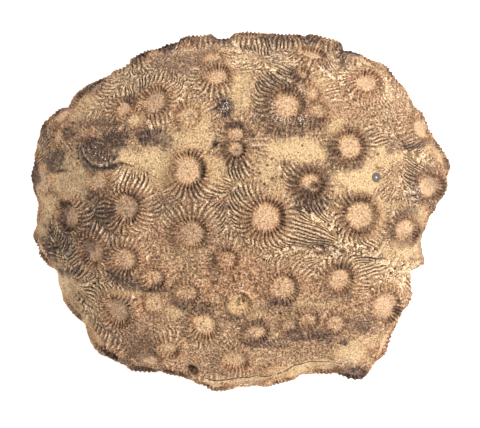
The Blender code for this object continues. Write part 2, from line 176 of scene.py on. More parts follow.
# %% A place on the dome
def dome_point(bearing, along):
    """A place on the plain dome, from its bearing and its share along the profile."""
    back = 0.5 + 0.5 * np.sin(np.radians(bearing))
    power = FRONT_POWER + (BACK_POWER - FRONT_POWER) * back
    out = np.sin(np.clip(along, 0.0, 1.0) * math.pi / 2.0)
    height = WAIST_HEIGHT + (CROWN_HEIGHT - WAIST_HEIGHT) * np.sqrt(1.0 - out**power)
    tuck = np.clip((along - 1.0) / (FOOT - 1.0), 0.0, 1.0) * TUCK_ANGLE
    out = out - FOOT_TUCK * (1.0 - np.cos(tuck)) / (1.0 - math.cos(TUCK_ANGLE))
    height = height - WAIST_HEIGHT * np.sin(tuck) / math.sin(TUCK_ANGLE)
    distance = out * reach(bearing, along)
    x = CROWN_AT[0] + distance * np.cos(np.radians(bearing))
    y = CROWN_AT[1] + distance * np.sin(np.radians(bearing))
    return np.stack([x, y, height], axis=-1)


print("half way down the front:", dome_point(-90.0, 0.5).round(1))

# %% The flat map
BEARING_STEP = 5.0
PROFILE_STEPS = 160


def profile_tables():
    """Distance down the surface by share along the profile, and the reverse."""
    bearings = np.arange(0.0, 360.0, BEARING_STEP)
    shares = np.linspace(0.0, FOOT, PROFILE_STEPS)
    places = dome_point(bearings[:, None], shares[None, :])
    steps = np.linalg.norm(np.diff(places, axis=1), axis=2)
    lengths = np.concatenate([np.zeros((len(bearings), 1)), np.cumsum(steps, axis=1)], axis=1)
    even = np.linspace(0.0, 1.0, PROFILE_STEPS)
    back = np.array([np.interp(even * row[-1], row, shares) for row in lengths])
    return lengths, back


def read_table(table, bearing, share):
    """Reads a table of bearings by shares (0 to 1), between its entries."""
    row = np.mod(bearing, 360.0) / BEARING_STEP
    column = np.clip(share, 0.0, 1.0) * (table.shape[1] - 1)
    low, left = np.floor(row).astype(int), np.minimum(column.astype(int), table.shape[1] - 2)
    up, right = row - low, column - left
    low, high = low % len(table), (low + 1) % len(table)
    near = table[low, left] * (1.0 - right) + table[low, left + 1] * right
    far = table[high, left] * (1.0 - right) + table[high, left + 1] * right
    return near * (1.0 - up) + far * up


LENGTHS, SHARES = profile_tables()
print("surface from crown to foot, mm:", LENGTHS[:, -1].min(), "to", LENGTHS[:, -1].max())


# %% To the map and back
PLAN_ROUNDS = 12  # rounds of finding the place along the profile, each nearer


def full_length(bearing):
    """Distance down the surface from the crown to the foot."""
    return read_table(LENGTHS, bearing, np.ones_like(bearing))


def to_map(bearing, along):
    """Map place of a bearing and a share along the profile."""
    length = read_table(LENGTHS, bearing, along / FOOT)
    turn = np.radians(bearing)
    return np.stack([length * np.cos(turn), length * np.sin(turn)], axis=-1)


def map_from_plan(x, y):
    """Map place of a point on the dome that is given by its place seen from above."""
    across, up = x - CROWN_AT[0], y - CROWN_AT[1]
    bearing, distance = np.degrees(np.arctan2(up, across)), np.hypot(across, up)
    along = np.full_like(distance, 0.5)
    for _ in range(PLAN_ROUNDS):
        along = np.arcsin(np.clip(distance / reach(bearing, along), 0.0, 1.0)) * 2.0 / math.pi
    return to_map(bearing, along)


def plain_skin(places):
    """Lifts map places onto the plain dome."""
    bearing = np.degrees(np.arctan2(places[:, 1], places[:, 0]))
    share = np.hypot(places[:, 0], places[:, 1]) / full_length(bearing)
    return dome_point(bearing, read_table(SHARES, bearing, share))


def height_above_cut(places):
    """Distance up the surface from the edge of the flat cut."""
    bearing = np.degrees(np.arctan2(places[:, 1], places[:, 0]))
    return full_length(bearing) - np.hypot(places[:, 0], places[:, 1])


def outward(places):
    """Directions square to the plain dome, pointing out of it."""
    small = 0.3
    across = plain_skin(places + [small, 0.0]) - plain_skin(places - [small, 0.0])
    up = plain_skin(places + [0.0, small]) - plain_skin(places - [0.0, small])
    square = np.cross(across, up)
    return square / np.linalg.norm(square, axis=1)[:, None]


print("the crown lifted from the map:", plain_skin(np.array([[0.01, 0.0]]))[0].round(1))

# %% [markdown]
# ## The cups
#
# Each cup, or calice, is a round floor sunk in a low mound. The seen ones are placed
# one by one, because a colony's cups crowd and squeeze each other in no fixed order.
# Each has a state of wear, from open to silted up. Round the flanks, where the
# colony goes on down to the cut, two loose rows are laid by rule, as in the solid.

# %% Cups on the dome
# Those that were placed one by one: plan x, plan y, radius of the floor, state of wear.
CUPS = [
    (-34.5, 54.5, 2.8, "open"), (-51.5, 44.0, 3.2, "faint"), (-60.0, 40.0, 2.4, "silted"),
    (-63.0, 34.0, 3.2, "silted"), (-65.5, 27.0, 2.6, "faint"), (-55.0, 28.5, 1.8, "faint"),
    (-41.0, 36.0, 2.6, "faint"), (-30.0, 38.5, 4.4, "open"), (-37.0, 32.0, 1.8, "silted"),
    (-10.0, 54.5, 3.0, "faint"), (-8.0, 47.5, 3.6, "open"), (-18.0, 33.5, 3.2, "faint"),
    (-1.5, 27.4, 2.4, "faint"), (-1.5, 22.0, 2.7, "open"), (16.5, 37.5, 4.7, "open"),
    (22.0, 47.5, 1.8, "open"), (25.5, 41.5, 2.2, "faint"), (25.5, 55.0, 3.8, "open"),
    (44.5, 45.2, 3.4, "open"), (27.5, 35.5, 2.6, "faint"), (45.0, 53.0, 2.6, "faint"),
    (38.5, 23.0, 4.4, "open"), (64.0, 29.5, 3.6, "open"), (67.0, 9.0, 3.7, "open"),
    (59.0, -6.5, 3.6, "open"), (42.5, -1.5, 5.0, "open"), (-70.0, 10.5, 4.0, "silted"),
    (-50.5, 11.0, 3.2, "silted"), (-60.5, -1.5, 4.6, "open"), (-40.0, 1.5, 4.6, "open"),
    (-52.0, -14.0, 4.4, "open"), (-40.0, -16.5, 4.0, "open"), (-18.5, 14.5, 5.0, "open"),
    (9.0, -2.0, 5.2, "open"), (-17.0, -7.5, 4.4, "open"), (-4.0, -16.5, 2.8, "open"),
    (25.0, 10.0, 3.5, "open"), (35.0, -24.0, 4.0, "open"), (51.5, -33.5, 4.4, "open"),
    (-43.5, -35.0, 5.0, "open"), (-30.0, -32.5, 2.6, "silted"), (-30.0, -23.0, 3.2, "open"),
    (-46.0, -50.0, 2.6, "open"), (-33.0, -52.0, 3.2, "silted"), (-18.0, -28.5, 3.2, "open"),
    (-12.5, -40.0, 4.0, "open"), (-25.0, -48.0, 3.2, "open"), (-1.5, -52.5, 4.0, "open"),
    (0.0, -32.0, 3.2, "open"), (6.0, -42.5, 3.2, "open"), (12.5, -57.5, 3.2, "silted"),
    (-9.0, -31.0, 2.6, "faint"), (15.0, -27.0, 4.6, "open"), (24.5, -38.5, 2.8, "open"),
    (34.0, -40.0, 3.2, "faint"), (18.0, -41.0, 2.4, "faint"), (39.5, -51.0, 4.8, "silted"),
    # The row that stands up along the back edge.
    (-15.3, 59.9, 3.8, "proud"), (-6.0, 60.3, 2.6, "faint"), (3.8, 60.9, 4.4, "proud"),
    (16.0, 60.6, 4.2, "proud"), (29.3, 59.2, 3.8, "proud"), (40.1, 55.2, 2.6, "faint"),
]
print(len(CUPS), "cups placed one by one")

# %% Sizes of the cups
# Cups on the flanks, which run round the whole head: height, spacing, radius, wear.
FLANK_ROWS = [(25.5, 17.0, 4.0, "flank"), (9.5, 19.0, 3.6, "buried")]
FLANK_SCATTER = np.array([4.5, 3.5, 0.7])  # in height, along the row, and in radius
FLANK_CLEARANCE = 1.9  # least distance between cups' centres, in floor radii
# Relief of a cup by its wear: rise of the mound, depth of the floor, sharpness.
RELIEF = {
    "proud": (3.2, 1.9, 1.0),
    "open": (2.6, 2.1, 1.0),
    "faint": (1.3, 1.0, 0.6),
    "silted": (1.4, 0.6, 0.3),
    "flank": (1.4, 1.7, 0.9),
    "buried": (0.9, 1.2, 0.6),
}
LONGEST = 1.8  # a cup is never longer down the slope than this many of its widths
UPWARD_BEYOND = 40.0  # plan x beyond which the cups face up more than the slope does
RIM_RING = 1.18  # crest of the rim, in floor radii
MOUND_SPREAD = 2.4
SEED = 7
print("states of wear:", ", ".join(RELIEF))


# %% One cup
class Cup:
    """One coral cup: its centre on the map, its size, and its own two directions there."""

    def __init__(self, centre, radius, wear, faces_up=False):
        self.centre, self.radius = centre, radius
        self.rise, self.depth, self.sharp = RELIEF[wear]
        distance = max(float(np.hypot(*centre)), 0.001)
        spot = plain_skin(centre[None, :])[0]
        self.down = centre / distance
        self.side = np.array([-self.down[1], self.down[0]])
        # Across the slope the map is wider than the stone, by this much.
        self.stretch = distance / max(float(np.hypot(*(spot[:2] - CROWN_AT))), 0.001)
        # A cup that faces up more than the slope does is longer down it.
        self.length = 1.0
        if faces_up:
            ends = plain_skin(np.array([centre - self.down, centre + self.down]))
            level = float(np.hypot(*(ends[1, :2] - ends[0, :2]))) / 2.0
            self.length = min(1.0 / max(level, 0.01), LONGEST)

    def ratio(self, places):
        """Distances from the centre, in floor radii."""
        away = places - self.centre
        aside = away @ self.side / self.stretch
        return np.hypot(away @ self.down / self.length, aside) / self.radius

    def ring(self, ratio, count, shifts=0.0):
        """Evenly spread places round the centre, shifted by parts of a space."""
        turn = (np.arange(count) + shifts) * 2.0 * math.pi / count
        down = np.cos(turn)[:, None] * self.down * self.length
        side = np.sin(turn)[:, None] * self.side * self.stretch
        return self.centre + (down + side) * self.radius * ratio


# %% Cups seen and laid by rule
def seen_cups():
    """The cups of the table, on the map."""
    table = np.array([cup[:2] for cup in CUPS])
    places = map_from_plan(table[:, 0], table[:, 1])
    return [Cup(place, cup[2], cup[3], cup[0] > UPWARD_BEYOND) for place, cup in zip(places, CUPS)]


def row_around(height):
    """Bearings, shares and distances run along a level line round the head."""
    bearings = np.arange(0.0, 360.0, 1.0)
    shares = np.linspace(0.5, FOOT, 200)
    depths = -dome_point(bearings[:, None], shares[None, :])[:, :, 2]
    alongs = np.array([np.interp(-height, depth, shares) for depth in depths])
    path = dome_point(bearings, alongs)
    steps = np.linalg.norm(np.diff(path, axis=0), axis=1)
    return bearings, alongs, np.concatenate([[0.0], np.cumsum(steps)])


def flank_cups(seen, rng):
    """Rows of cups round the flanks, left out wherever another cup is too near."""
    cups = []
    for row, (level, spacing, size, wear) in enumerate(FLANK_ROWS):
        travelled = row_around(level)[2]
        for start in np.arange(0.5 * row * spacing, travelled[-1], spacing):
            up, sideways, wider = rng.uniform(-1.0, 1.0, 3) * FLANK_SCATTER
            bearings, alongs, lengths = row_around(level + up)
            bearing = np.interp(start + sideways, lengths, bearings)
            along = np.interp(bearing, bearings, alongs)
            centre = to_map(np.array([bearing]), np.array([along]))[0]
            cup = Cup(centre, size + wider, wear)
            others = seen + cups
            gaps = [cup.ratio(other.centre[None, :])[0] * cup.radius for other in others]
            needs = [FLANK_CLEARANCE * 0.5 * (cup.radius + other.radius) for other in others]
            if np.all(np.array(gaps) > np.array(needs)):
                cups.append(cup)
    return cups


random = np.random.default_rng(SEED)
SEEN = seen_cups()
CUPS_ALL = SEEN + flank_cups(SEEN, random)
print(len(SEEN), "seen cups and", len(CUPS_ALL) - len(SEEN), "flank cups")

# %% [markdown]
# ## The ground between the cups
#
# Over the plain dome lie broad swells, small lumps, two broken ledges and the
# mounds of the cups. The ground is one function of place, so every point that is
# laid later, whatever it belongs to, takes its height from the same stone.

# %% Swells, lumps and ledges
LUMPS = [(17.0, 1.1), (6.0, 0.45)]  # width and height of the broad and the small lumps
# Broad swells and hollows: plan x, plan y, reach, height.
SWELLS = [
    (-60.0, 16.5, 8.0, -2.2),  # silted hollow on the left
    (-41.0, -5.0, 10.0, 1.6),  # brow above the left slope
    (-62.0, -14.0, 8.0, -1.6),
    (-60.0, -37.0, 8.0, -1.4),  # broken facet at the lower left
    (10.0, 25.0, 12.0, -0.8),
    (56.0, -14.0, 8.0, -1.2),
    (22.0, -47.0, 10.0, -1.3),  # trough above the front lip
]
# The ground to the left of each path stands higher by the height, and falls back to
# the level over the fade.
LEDGES = [
    ([(-57.5, 23.0), (-55.6, 19.4), (-52.6, 16.6), (-49.5, 15.9), (-46.3, 16.6),
      (-42.5, 17.8), (-38.0, 16.4)], 2.0, 7.0),
    ([(-12.0, -59.2), (-4.0, -60.0), (3.0, -59.4), (10.0, -57.4), (20.0, -55.2),
      (28.0, -54.2), (36.0, -54.4)], 1.2, 5.0),
]
LEDGE_HALF_WIDTH = 0.45
LEDGE_TAPER = 0.2  # share of the path over which each end dies away
print(len(SWELLS), "swells and", len(LEDGES), "ledges")


# %% Ground height
def ledge_rise(places):
    """Rise of the ground beside each ledge, with the paths given in plan."""
    total = np.zeros(len(places))
    for path, height, fade in LEDGES:
        corners = map_from_plan(*np.array(path).T)
        start, run = corners[:-1], np.diff(corners, axis=0)
        away = places[:, None, :] - start[None, :, :]
        part = np.clip((away * run).sum(2) / (run * run).sum(1), 0.0, 1.0)
        offset = away - part[:, :, None] * run
        gap = np.hypot(offset[:, :, 0], offset[:, :, 1])
        nearest = gap.argmin(axis=1)
        pick = np.arange(len(places))
        side = run[nearest, 0] * away[pick, nearest, 1] - run[nearest, 1] * away[pick, nearest, 0]
        signed = np.sign(side) * gap[pick, nearest]
        progress = (nearest + part[pick, nearest]) / len(run)
        taper = smooth_step(progress / LEDGE_TAPER) * smooth_step((1.0 - progress) / LEDGE_TAPER)
        edge = smooth_step(0.5 + signed / (2.0 * LEDGE_HALF_WIDTH))
        total += height * taper * edge * np.exp(-np.maximum(signed, 0.0) / fade)
    return total


def ground_rise(places, cups):
    """Height of the ground over the plain dome, without the cups' own pits and ribs."""
    spots = plain_skin(places)
    rise = np.zeros(len(places))
    for width, height in LUMPS:
        rise += height * noise_at(spots, width)
    for x, y, width, height in SWELLS:
        away = np.hypot(spots[:, 0] - x, spots[:, 1] - y)
        rise += height * np.exp(-0.5 * (away / width) ** 2)
    rise += ledge_rise(places)
    mound = np.zeros(len(places))
    for cup in cups:
        down = ramp(cup.ratio(places), RIM_RING, MOUND_SPREAD - RIM_RING)
        mound = np.maximum(mound, cup.rise * (1.0 - down))
    return rise + mound


print("ground on the crown, mm:", ground_rise(np.array([[0.01, 0.0]]), CUPS_ALL).round(2))

# %% [markdown]
# ## Ribs that grow from the rims
#
# Ribs are what makes this stone look like coral. They leave each rim like spokes,
# bend away from the ribs of the next cup, and run side by side down the valleys.
# A texture of spokes would widen with distance and would meet its neighbour in a
# seam. Growing them is truer: every rib's tip moves a step at a time, pushed away
# from all the cups, a new rib starts where two have drifted apart, one ends where
# they crowd, and all stop where they reach another cup's ribs. Between each two
# ribs runs the bottom of a groove, so the mesh will follow the ribs exactly.

# %% Sizes of the ribs
RIB_SPACING = 1.24  # between ribs where the head is seen best
FLANK_SPACING = 1.85  # and low down on the flanks
RIB_START = 1.46  # ribs take over from the septa at this many floor radii
SIZE_POWER = 1.3  # how a cup's push grows with its radius
PUSH_POWER = 3.2  # and how fast it falls off with distance
PUSH_NEAREST = 0.5  # mm, nearer than this the push grows no further
SPLIT_GAP = 1.72  # a new rib starts in a gap this wide, in spacings
CROWD_GAP = 0.56  # and a rib ends in one this narrow
WIDEST_GAP = 2.6  # past this gap two ribs share no groove
MEET_GAP = 0.66  # ribs of two cups stop this far apart
RIB_STEPS = 46  # the longest that a rib can grow
RIB_STEP = 0.55  # how far a tip moves at a time, in spacings
RIM_CLEARANCE = 0.04  # how far inside another cup's first ring a tip may come, in radii
CUT_CLEARANCE = 0.9  # least distance from a tip to the cut, mm
WANDER, WANDER_SIZE = 0.32, 2.6  # how far ribs stray from the push, over how many mm
# Where the whole colony once leaned one way, its ribs run side by side for longer:
# plan x, plan y, reach in mm, heading in degrees, strength.
CURRENTS = [
    (27.0, -12.0, 8.0, -22.0, 0.05), (44.0, -17.0, 8.0, -14.0, 0.05), (60.0, -19.5, 7.0, -10.0, 0.06),
]
UNEVEN = 0.2  # how far septa stray from even places round the rim, in spacings
FLANK_FOOT, FLANK_HEIGHT = 8.0, 24.0  # ribs are coarse below the first, fine this far above it
print("ribs lie", RIB_SPACING, "mm apart on the dome and", FLANK_SPACING, "mm on the flanks")

# %% The bored hole
BORING_AT = np.array([-17.1, -56.7])
BORING_RADIUS, BORING_DEPTH = 2.0, 4.0
BORING_CLEARANCE = 1.5  # no rib comes nearer to the hole, in its radii

# A borer's hole is handled like a cup, so that ribs keep clear of it too.
HOLE = Cup(map_from_plan(BORING_AT[:1], BORING_AT[1:])[0], BORING_RADIUS, "open", faces_up=True)
print("the hole lies at", HOLE.centre.round(1), "on the map")


# %% Septa round a rim
def seen_share(spots):
    """0 low on the flanks, rising to 1 where the head is seen from above."""
    return ramp(spots[:, 2], FLANK_FOOT, FLANK_HEIGHT)


def spacing_at(spots):
    """Rib spacing grows down the flanks, where nothing is seen from above."""
    return blend(FLANK_SPACING, RIB_SPACING, seen_share(spots))


def septa_of(cup):
    """How many septa fit round the rim."""
    spot = plain_skin(cup.centre[None, :])
    return max(9, round(2.0 * math.pi * cup.radius * RIM_RING / float(spacing_at(spot)[0])))


print("septa round the largest cup:", max(septa_of(cup) for cup in CUPS_ALL))


# %% Steps on the map
def map_steps(places, pushes, lengths):
    """Map steps that carry each place along its push, by a true length on the stone."""
    small = 0.05
    across = (plain_skin(places + [small, 0.0]) - plain_skin(places - [small, 0.0])) / (2 * small)
    up = (plain_skin(places + [0.0, small]) - plain_skin(places - [0.0, small])) / (2 * small)
    aa, uu, au = (across**2).sum(1), (up**2).sum(1), (across * up).sum(1)
    pa, pu = (pushes * across).sum(1), (pushes * up).sum(1)
    scale = np.maximum(aa * uu - au * au, 1e-9)
    steps = np.stack([(uu * pa - au * pu) / scale, (aa * pu - au * pa) / scale], axis=1)
    run = np.linalg.norm(across * steps[:, :1] + up * steps[:, 1:], axis=1)
    return steps * (lengths / np.maximum(run, 1e-9))[:, None]


one_step = map_steps(np.array([[30.0, 0.0]]), np.array([[0.0, 0.0, -1.0]]), np.array([1.0]))
print("1 mm straight down the right side is, on the map,", one_step.round(2))


# %% What is kept of each rib
class Rib:
    """One rib: where its growing tip is, which cup it comes from, and its first and last step."""

    def __init__(self, place, owner, born):
        self.place, self.owner, self.born, self.ended = place, owner, born, RIB_STEPS


class Growth:
    """The points laid so far: crests of ribs, and bottoms of the grooves between them."""

    def __init__(self):
        self.places, self.spots = np.zeros((0, 2)), np.zeros((0, 3))
        self.crest, self.owners, self.steps = [], [], []
        self.ribs = []  # the one rib of a crest, or the two beside a groove

    def lay(self, laid, step):
        """Adds one step's points, each given as place, is it a crest, owner, ribs."""
        places = np.array([entry[0] for entry in laid])
        self.places = np.concatenate([self.places, places])
        self.spots = np.concatenate([self.spots, plain_skin(places)])
        self.crest += [entry[1] for entry in laid]
        self.owners += [entry[2] for entry in laid]
        self.ribs += [entry[3] for entry in laid]
        self.steps += [step] * len(laid)


# %% What pushes a tip
# Each septum and slot is a little off its even place, the same on every ring.
SHIFTS = [random.uniform(-UNEVEN, UNEVEN, 2 * septa_of(cup)) for cup in CUPS_ALL]
centres = np.array([cup.centre for cup in CUPS_ALL])
hearts = plain_skin(centres)
strengths = np.array([cup.radius for cup in CUPS_ALL]) ** SIZE_POWER


def push_at(spots):
    """All cups push a tip away, the nearest most, and each rib wanders a little."""
    away = spots[:, None, :] - hearts[None, :, :]
    far = np.maximum(np.linalg.norm(away, axis=2), PUSH_NEAREST)
    push = (away * (strengths / far**PUSH_POWER)[:, :, None]).sum(axis=1)
    for x, y, reach, heading, strength in CURRENTS:
        turn = math.radians(heading)
        along = np.array([math.cos(turn), math.sin(turn), 0.0])
        apart = np.hypot(spots[:, 0] - x, spots[:, 1] - y)
        push += (strength * np.exp(-0.5 * (apart / reach) ** 2))[:, None] * along
    size = np.linalg.norm(push, axis=1)[:, None]
    wander = np.stack([noise_at(spots, WANDER_SIZE, 41.0 + axis) for axis in range(3)], axis=1)
    return push + size * WANDER * wander


print("a tip on the crown is pushed by", push_at(plain_skin(np.array([[0.01, 0.0]]))).round(3))


# %% Where a tip starts and stops
def first_ring(index, cup):
    """One rib on every septum of a rim."""
    ring = cup.ring(RIB_START, 2 * septa_of(cup), SHIFTS[index])[::2]
    return [Rib(place, index, 0) for place in ring]


def stopped(live, places, spots, gaps, growth):
    """Which tips have run into another cup, its ribs, the hole or the cut."""
    owners = np.array([rib.owner for rib in live])
    ratios = np.array([cup.ratio(places) for cup in CUPS_ALL]).T
    ratios[np.arange(len(live)), owners] = 9.0
    stop = ratios.min(axis=1) < RIB_START - RIM_CLEARANCE
    stop |= height_above_cut(places) < CUT_CLEARANCE
    stop |= HOLE.ratio(places) < BORING_CLEARANCE
    tree = tree_of(growth.spots)
    for number, (spot, owner) in enumerate(zip(spots.tolist(), owners)):
        if not stop[number]:
            near = tree.find_range(spot, MEET_GAP * gaps[number])
            stop[number] = any(growth.owners[found] != owner for _co, found, _far in near)
    return stop


starts = sum(len(first_ring(index, cup)) for index, cup in enumerate(CUPS_ALL))
print(starts, "ribs start at the rims")


# %% Ribs side by side
def next_ring(ring, owner, step, state, laid):
    """Lays one step of a cup's ribs and grooves, and gives the ribs that grow on."""
    kept = [rib for rib in ring if rib.ended > step]
    after = []
    for here, there in zip(kept, kept[1:] + kept[:1]):
        if here.ended <= step:
            continue
        after.append(here)
        laid.append((here.place, True, owner, (here,)))
        if here is there or there.ended <= step:
            continue
        gap = np.linalg.norm(state[here][0] - state[there][0]) / state[here][1]
        middle = (here.place + there.place) / 2.0
        if gap < CROWD_GAP and there not in after:
            there.ended = step
        elif gap < WIDEST_GAP:
            laid.append((middle, False, owner, (here, there)))
            if gap > SPLIT_GAP:
                after.append(Rib(middle, owner, step + 1))
    return after


# %% Grow the ribs
def grow_ribs():
    """Moves every tip step by step, and lays crests and grooves as it goes."""
    rings = [first_ring(index, cup) for index, cup in enumerate(CUPS_ALL)]
    growth = Growth()
    for step in range(RIB_STEPS):
        live = [rib for ring in rings for rib in ring]
        if not live:
            break
        places = np.array([rib.place for rib in live])
        spots = plain_skin(places)
        gaps = spacing_at(spots)
        if step:
            places = places + map_steps(places, push_at(spots), RIB_STEP * gaps)
            spots = plain_skin(places)
        stop = stopped(live, places, spots, gaps, growth)
        state = {}
        for number, rib in enumerate(live):
            state[rib] = (spots[number], gaps[number])
            if stop[number]:
                rib.ended = step
            else:
                rib.place = places[number]
        laid = []
        rings = [next_ring(ring, owner, step, state, laid) for owner, ring in enumerate(rings)]
        if laid:
            growth.lay(laid, step)
    return growth


grow_started = time.time()
growth = grow_ribs()
print(len(growth.places), "points on ribs in", round(time.time() - grow_started, 1), "s")

# %% [markdown]
# ## Inside the cups
#
# From the rim inwards the septa slope down to the floor as sharp plates, with deep
# slots between them. Each cup gets rings of points: one point on every septum and
# one in every slot, lined up with the ribs outside, so a septum and its rib are one
# unbroken plate. The height of a ring is a share of the cup's depth, and a septum
# and a slot have different heights on the same ring.

# %% Rings of the cups
# Ratio to the floor radius, then the height of septum and slot as a share of the
# depth, then what the sharpness adds to each in mm.
CUP_PROFILE = [
    (0.00, -0.86, -0.86, 0.00, 0.00),
    (0.26, -0.92, -0.92, 0.00, 0.00),
    (0.50, -0.97, -0.97, 0.00, 0.00),
    (0.66, -0.98, -1.00, 0.04, -0.04),
    (0.82, -0.94, -1.02, 0.10, -0.10),
    (0.98, -0.74, -0.98, 0.22, -0.25),
    (1.12, -0.38, -0.68, 0.30, -0.42),
    (1.28, -0.06, -0.24, 0.40, -0.55),
]
FLOOR_EDGE = 0.6  # inside this ratio the rings are plain floor
SLOT_SHADE = 0.9  # painted shade in the slots of the rim, as a share of full dark
WALL_SHADE = 0.62  # painted shade on the septa between them, on the wall of the cup
OWN_OVERLAP = 0.02  # how far a cup may reach into its neighbour, in radii
print(len(CUP_PROFILE), "rings in each cup")


# %% A store for the points
class Points:
    """Points of the skin: map places, and for each what it is part of, from 0 to 1."""

    KINDS = ("pit", "relief", "groove", "crest", "floor", "rim", "kept")

    def __init__(self):
        self.places = []
        self.values = {kind: [] for kind in self.KINDS}

    def add(self, places, **given):
        """Pit and relief are heights in mm, and what is not given is 0."""
        self.places.append(np.array(places))
        for kind, store in self.values.items():
            value = np.asarray(given.get(kind, 0.0), dtype=float)
            store.append(np.broadcast_to(value, (len(places),)).copy())

    def count(self):
        """How many points have been added."""
        return sum(len(places) for places in self.places)


points = Points()
print("each point is a part of:", ", ".join(Points.KINDS))


# %% Where cups overlap
def own_places(cup, places, others):
    """Points of a cup that no nearer cup claims."""
    if not others:
        return np.ones(len(places), dtype=bool)
    nearest = np.min([other.ratio(places) for other in others], axis=0)
    return cup.ratio(places) <= nearest + OWN_OVERLAP


def near_cups(cup):
    """The cups near enough to overlap this one."""
    reach = 3.0 * cup.radius * cup.stretch
    near = []
    for other in CUPS_ALL:
        apart = np.hypot(*(other.centre - cup.centre))
        if other is not cup and apart < reach + 3.0 * other.radius:
            near.append(other)
    return near


print("the first cup may overlap", len(near_cups(CUPS_ALL[0])), "others")


# %% The points of one cup
def add_cup(points, number, cup, rng):
    """Rings from the middle of the floor out to the first ring of ribs."""
    count = septa_of(cup)
    others = near_cups(cup)
    worn = rng.uniform(0.55, 1.15, 2 * count)  # some slots are choked, some teeth broken
    # How much shade is painted on each cup's wall, and the side where it is darkest.
    shade_and_dirt, shaded_side = rng.uniform(0.6, 1.1), rng.uniform(0.0, 2.0 * math.pi)
    for ratio, septum, slot, sharp_septum, sharp_slot in CUP_PROFILE:
        plain = ratio < FLOOR_EDGE
        around = max(1, round(1.6 * count * ratio)) if plain else 2 * count
        places = cup.ring(ratio, around, 0.0 if plain else SHIFTS[number])
        odd = np.zeros(around) if plain else np.arange(around) % 2
        own_wear = 1.0 if plain else worn
        pit = cup.depth * blend(septum, slot, odd)
        relief = cup.sharp * own_wear * blend(sharp_septum, sharp_slot, odd)
        relief = relief + rng.normal(0.0, 0.07, around)
        own = own_places(cup, places, others) & (HOLE.ratio(places) > BORING_CLEARANCE)
        # The slots reach into the floor unevenly, so its edge is jagged.
        reach = np.zeros(around) if plain else rng.uniform(-0.16, 0.14, around)
        slots = odd * ramp(ratio + reach, 0.64, 0.42) * min(1.0, 0.3 + cup.sharp) * own_wear
        # Shade is painted on the wall of the cup, darker on one side than on the other.
        wall = ramp(ratio + reach, 0.82, 0.22) * (1.0 - ramp(ratio, 1.14, 0.34))
        turns = np.arange(around) * 2.0 * math.pi / around
        wall = wall * shade_and_dirt * (0.78 + 0.22 * np.cos(turns - shaded_side)) * min(1.0, 0.4 + cup.sharp)
        # The slots and the wall are painted darker as shade.
        groove = np.maximum(SLOT_SHADE * slots, 0.0 if plain else WALL_SHADE * wall)
        crest = (1.0 - odd) * ramp(ratio, 1.05, 0.3) * own_wear * cup.sharp
        floor = 1.0 - ramp(ratio + 1.6 * reach, 0.86, 0.3)
        rim = np.full(around, ramp(ratio, 0.85, 0.3))
        points.add(places[own], pit=pit[own], relief=relief[own], groove=groove[own],
                   crest=crest[own], floor=floor[own], rim=rim[own])


trial = Points()
add_cup(trial, 0, CUPS_ALL[0], np.random.default_rng(SEED))
print(trial.count(), "points in the first cup")

# %% [markdown]
# ## The hole and the pits
#
# Near the lower edge is a round hole, which some animal bored, and here and there are
# small dark pits where the silt has come out. Both are painted dark inside as shade.
# Both could be cut with a boolean, which would leave long thin triangles all round.
# They are made as the cups are, as rings of points that go down in steps, so the skin
# simply dips into them.

# %% The bored hole in rings
# Ring size and depth as shares of the hole's own, and how many points lie on the ring.
HOLE_RINGS = [
    (0.0, 1.0, 1),
    (0.3, 1.0, 6),
    (0.55, 0.95, 10),
    (0.75, 0.85, 14),
    (0.9, 0.6, 18),
    (1.04, 0.1, 20),
    (1.2, 0.0, 22),
]
LIT_WALL = 0.22  # how much farther down the near wall the light comes, in radii


def add_hole(points):
    """The round boring: shade is painted on its far wall, and its near one is left pale, as if lit."""
    for share, deep, count in HOLE_RINGS:
        lower = np.cos(np.arange(count) * 2.0 * math.pi / count)
        painted_shade = 1.0 - ramp(share + LIT_WALL * share * lower, 0.92, 0.2)
        points.add(HOLE.ring(share, count), pit=-BORING_DEPTH * deep, groove=painted_shade, kept=1.0)


add_hole(points)
print(points.count(), "points in the hole")

# %% Small pits
# Small pits in the silt and the floors, painted dark inside as shade: plan x, plan y, radius, depth.
PITS = [
    (26.3, 9.5, 0.6, 0.6), (1.0, -31.2, 0.9, 1.0), (-9.2, 23.6, 0.9, 0.8), (15.5, 16.5, 0.7, 0.5),
    (11.0, 18.6, 0.6, 0.5), (14.5, 12.3, 0.6, 0.5), (11.2, 11.8, 0.6, 0.5), (8.4, 9.6, 0.6, 0.5),
    (6.8, 13.4, 0.5, 0.4), (9.3, 16.4, 0.5, 0.4), (48.8, 20.4, 0.6, 0.5),
    (50.0, -12.4, 0.7, 0.6), (37.0, -47.2, 0.6, 0.6), (65.7, -6.8, 0.7, 0.6),
    (65.2, -11.7, 0.6, 0.6), (22.0, 23.4, 0.5, 0.4), (-2.8, -25.0, 0.9, 0.7),
    (-58.7, 19.2, 0.5, 0.5), (-59.4, 17.4, 0.5, 0.5), (-72.4, 6.6, 0.5, 0.5),
    (19.8, 19.0, 0.4, 0.3), (-14.6, 32.0, 0.6, 0.5), (-16.6, 33.6, 0.5, 0.5),
    (-22.0, 31.4, 0.5, 0.4), (58.4, 25.2, 0.6, 0.5), (54.4, 32.4, 0.5, 0.5),
    (-31.6, -27.2, 0.6, 0.6), (14.0, -36.6, 0.6, 0.5),
]
PIT_RINGS = [(0.0, 1.0, 1), (0.7, 0.8, 5), (1.3, 0.0, 8)]  # as the rings of the hole
# How dark the inside of a pit is painted, as shade.
PIT_SHADE = 0.8


def add_pits(points):
    """A few rings of points for each pit."""
    table = np.array(PITS)
    for place, (_x, _y, radius, depth) in zip(map_from_plan(table[:, 0], table[:, 1]), PITS):
        pit = Cup(place, radius, "open", faces_up=True)
        for share, deep, count in PIT_RINGS:
            painted_shade = PIT_SHADE * (1.0 - ramp(share, 0.6, 0.7))
            points.add(pit.ring(share, count), pit=-depth * deep, groove=painted_shade, kept=1.0)


add_pits(points)
print(points.count(), "points with the pits")

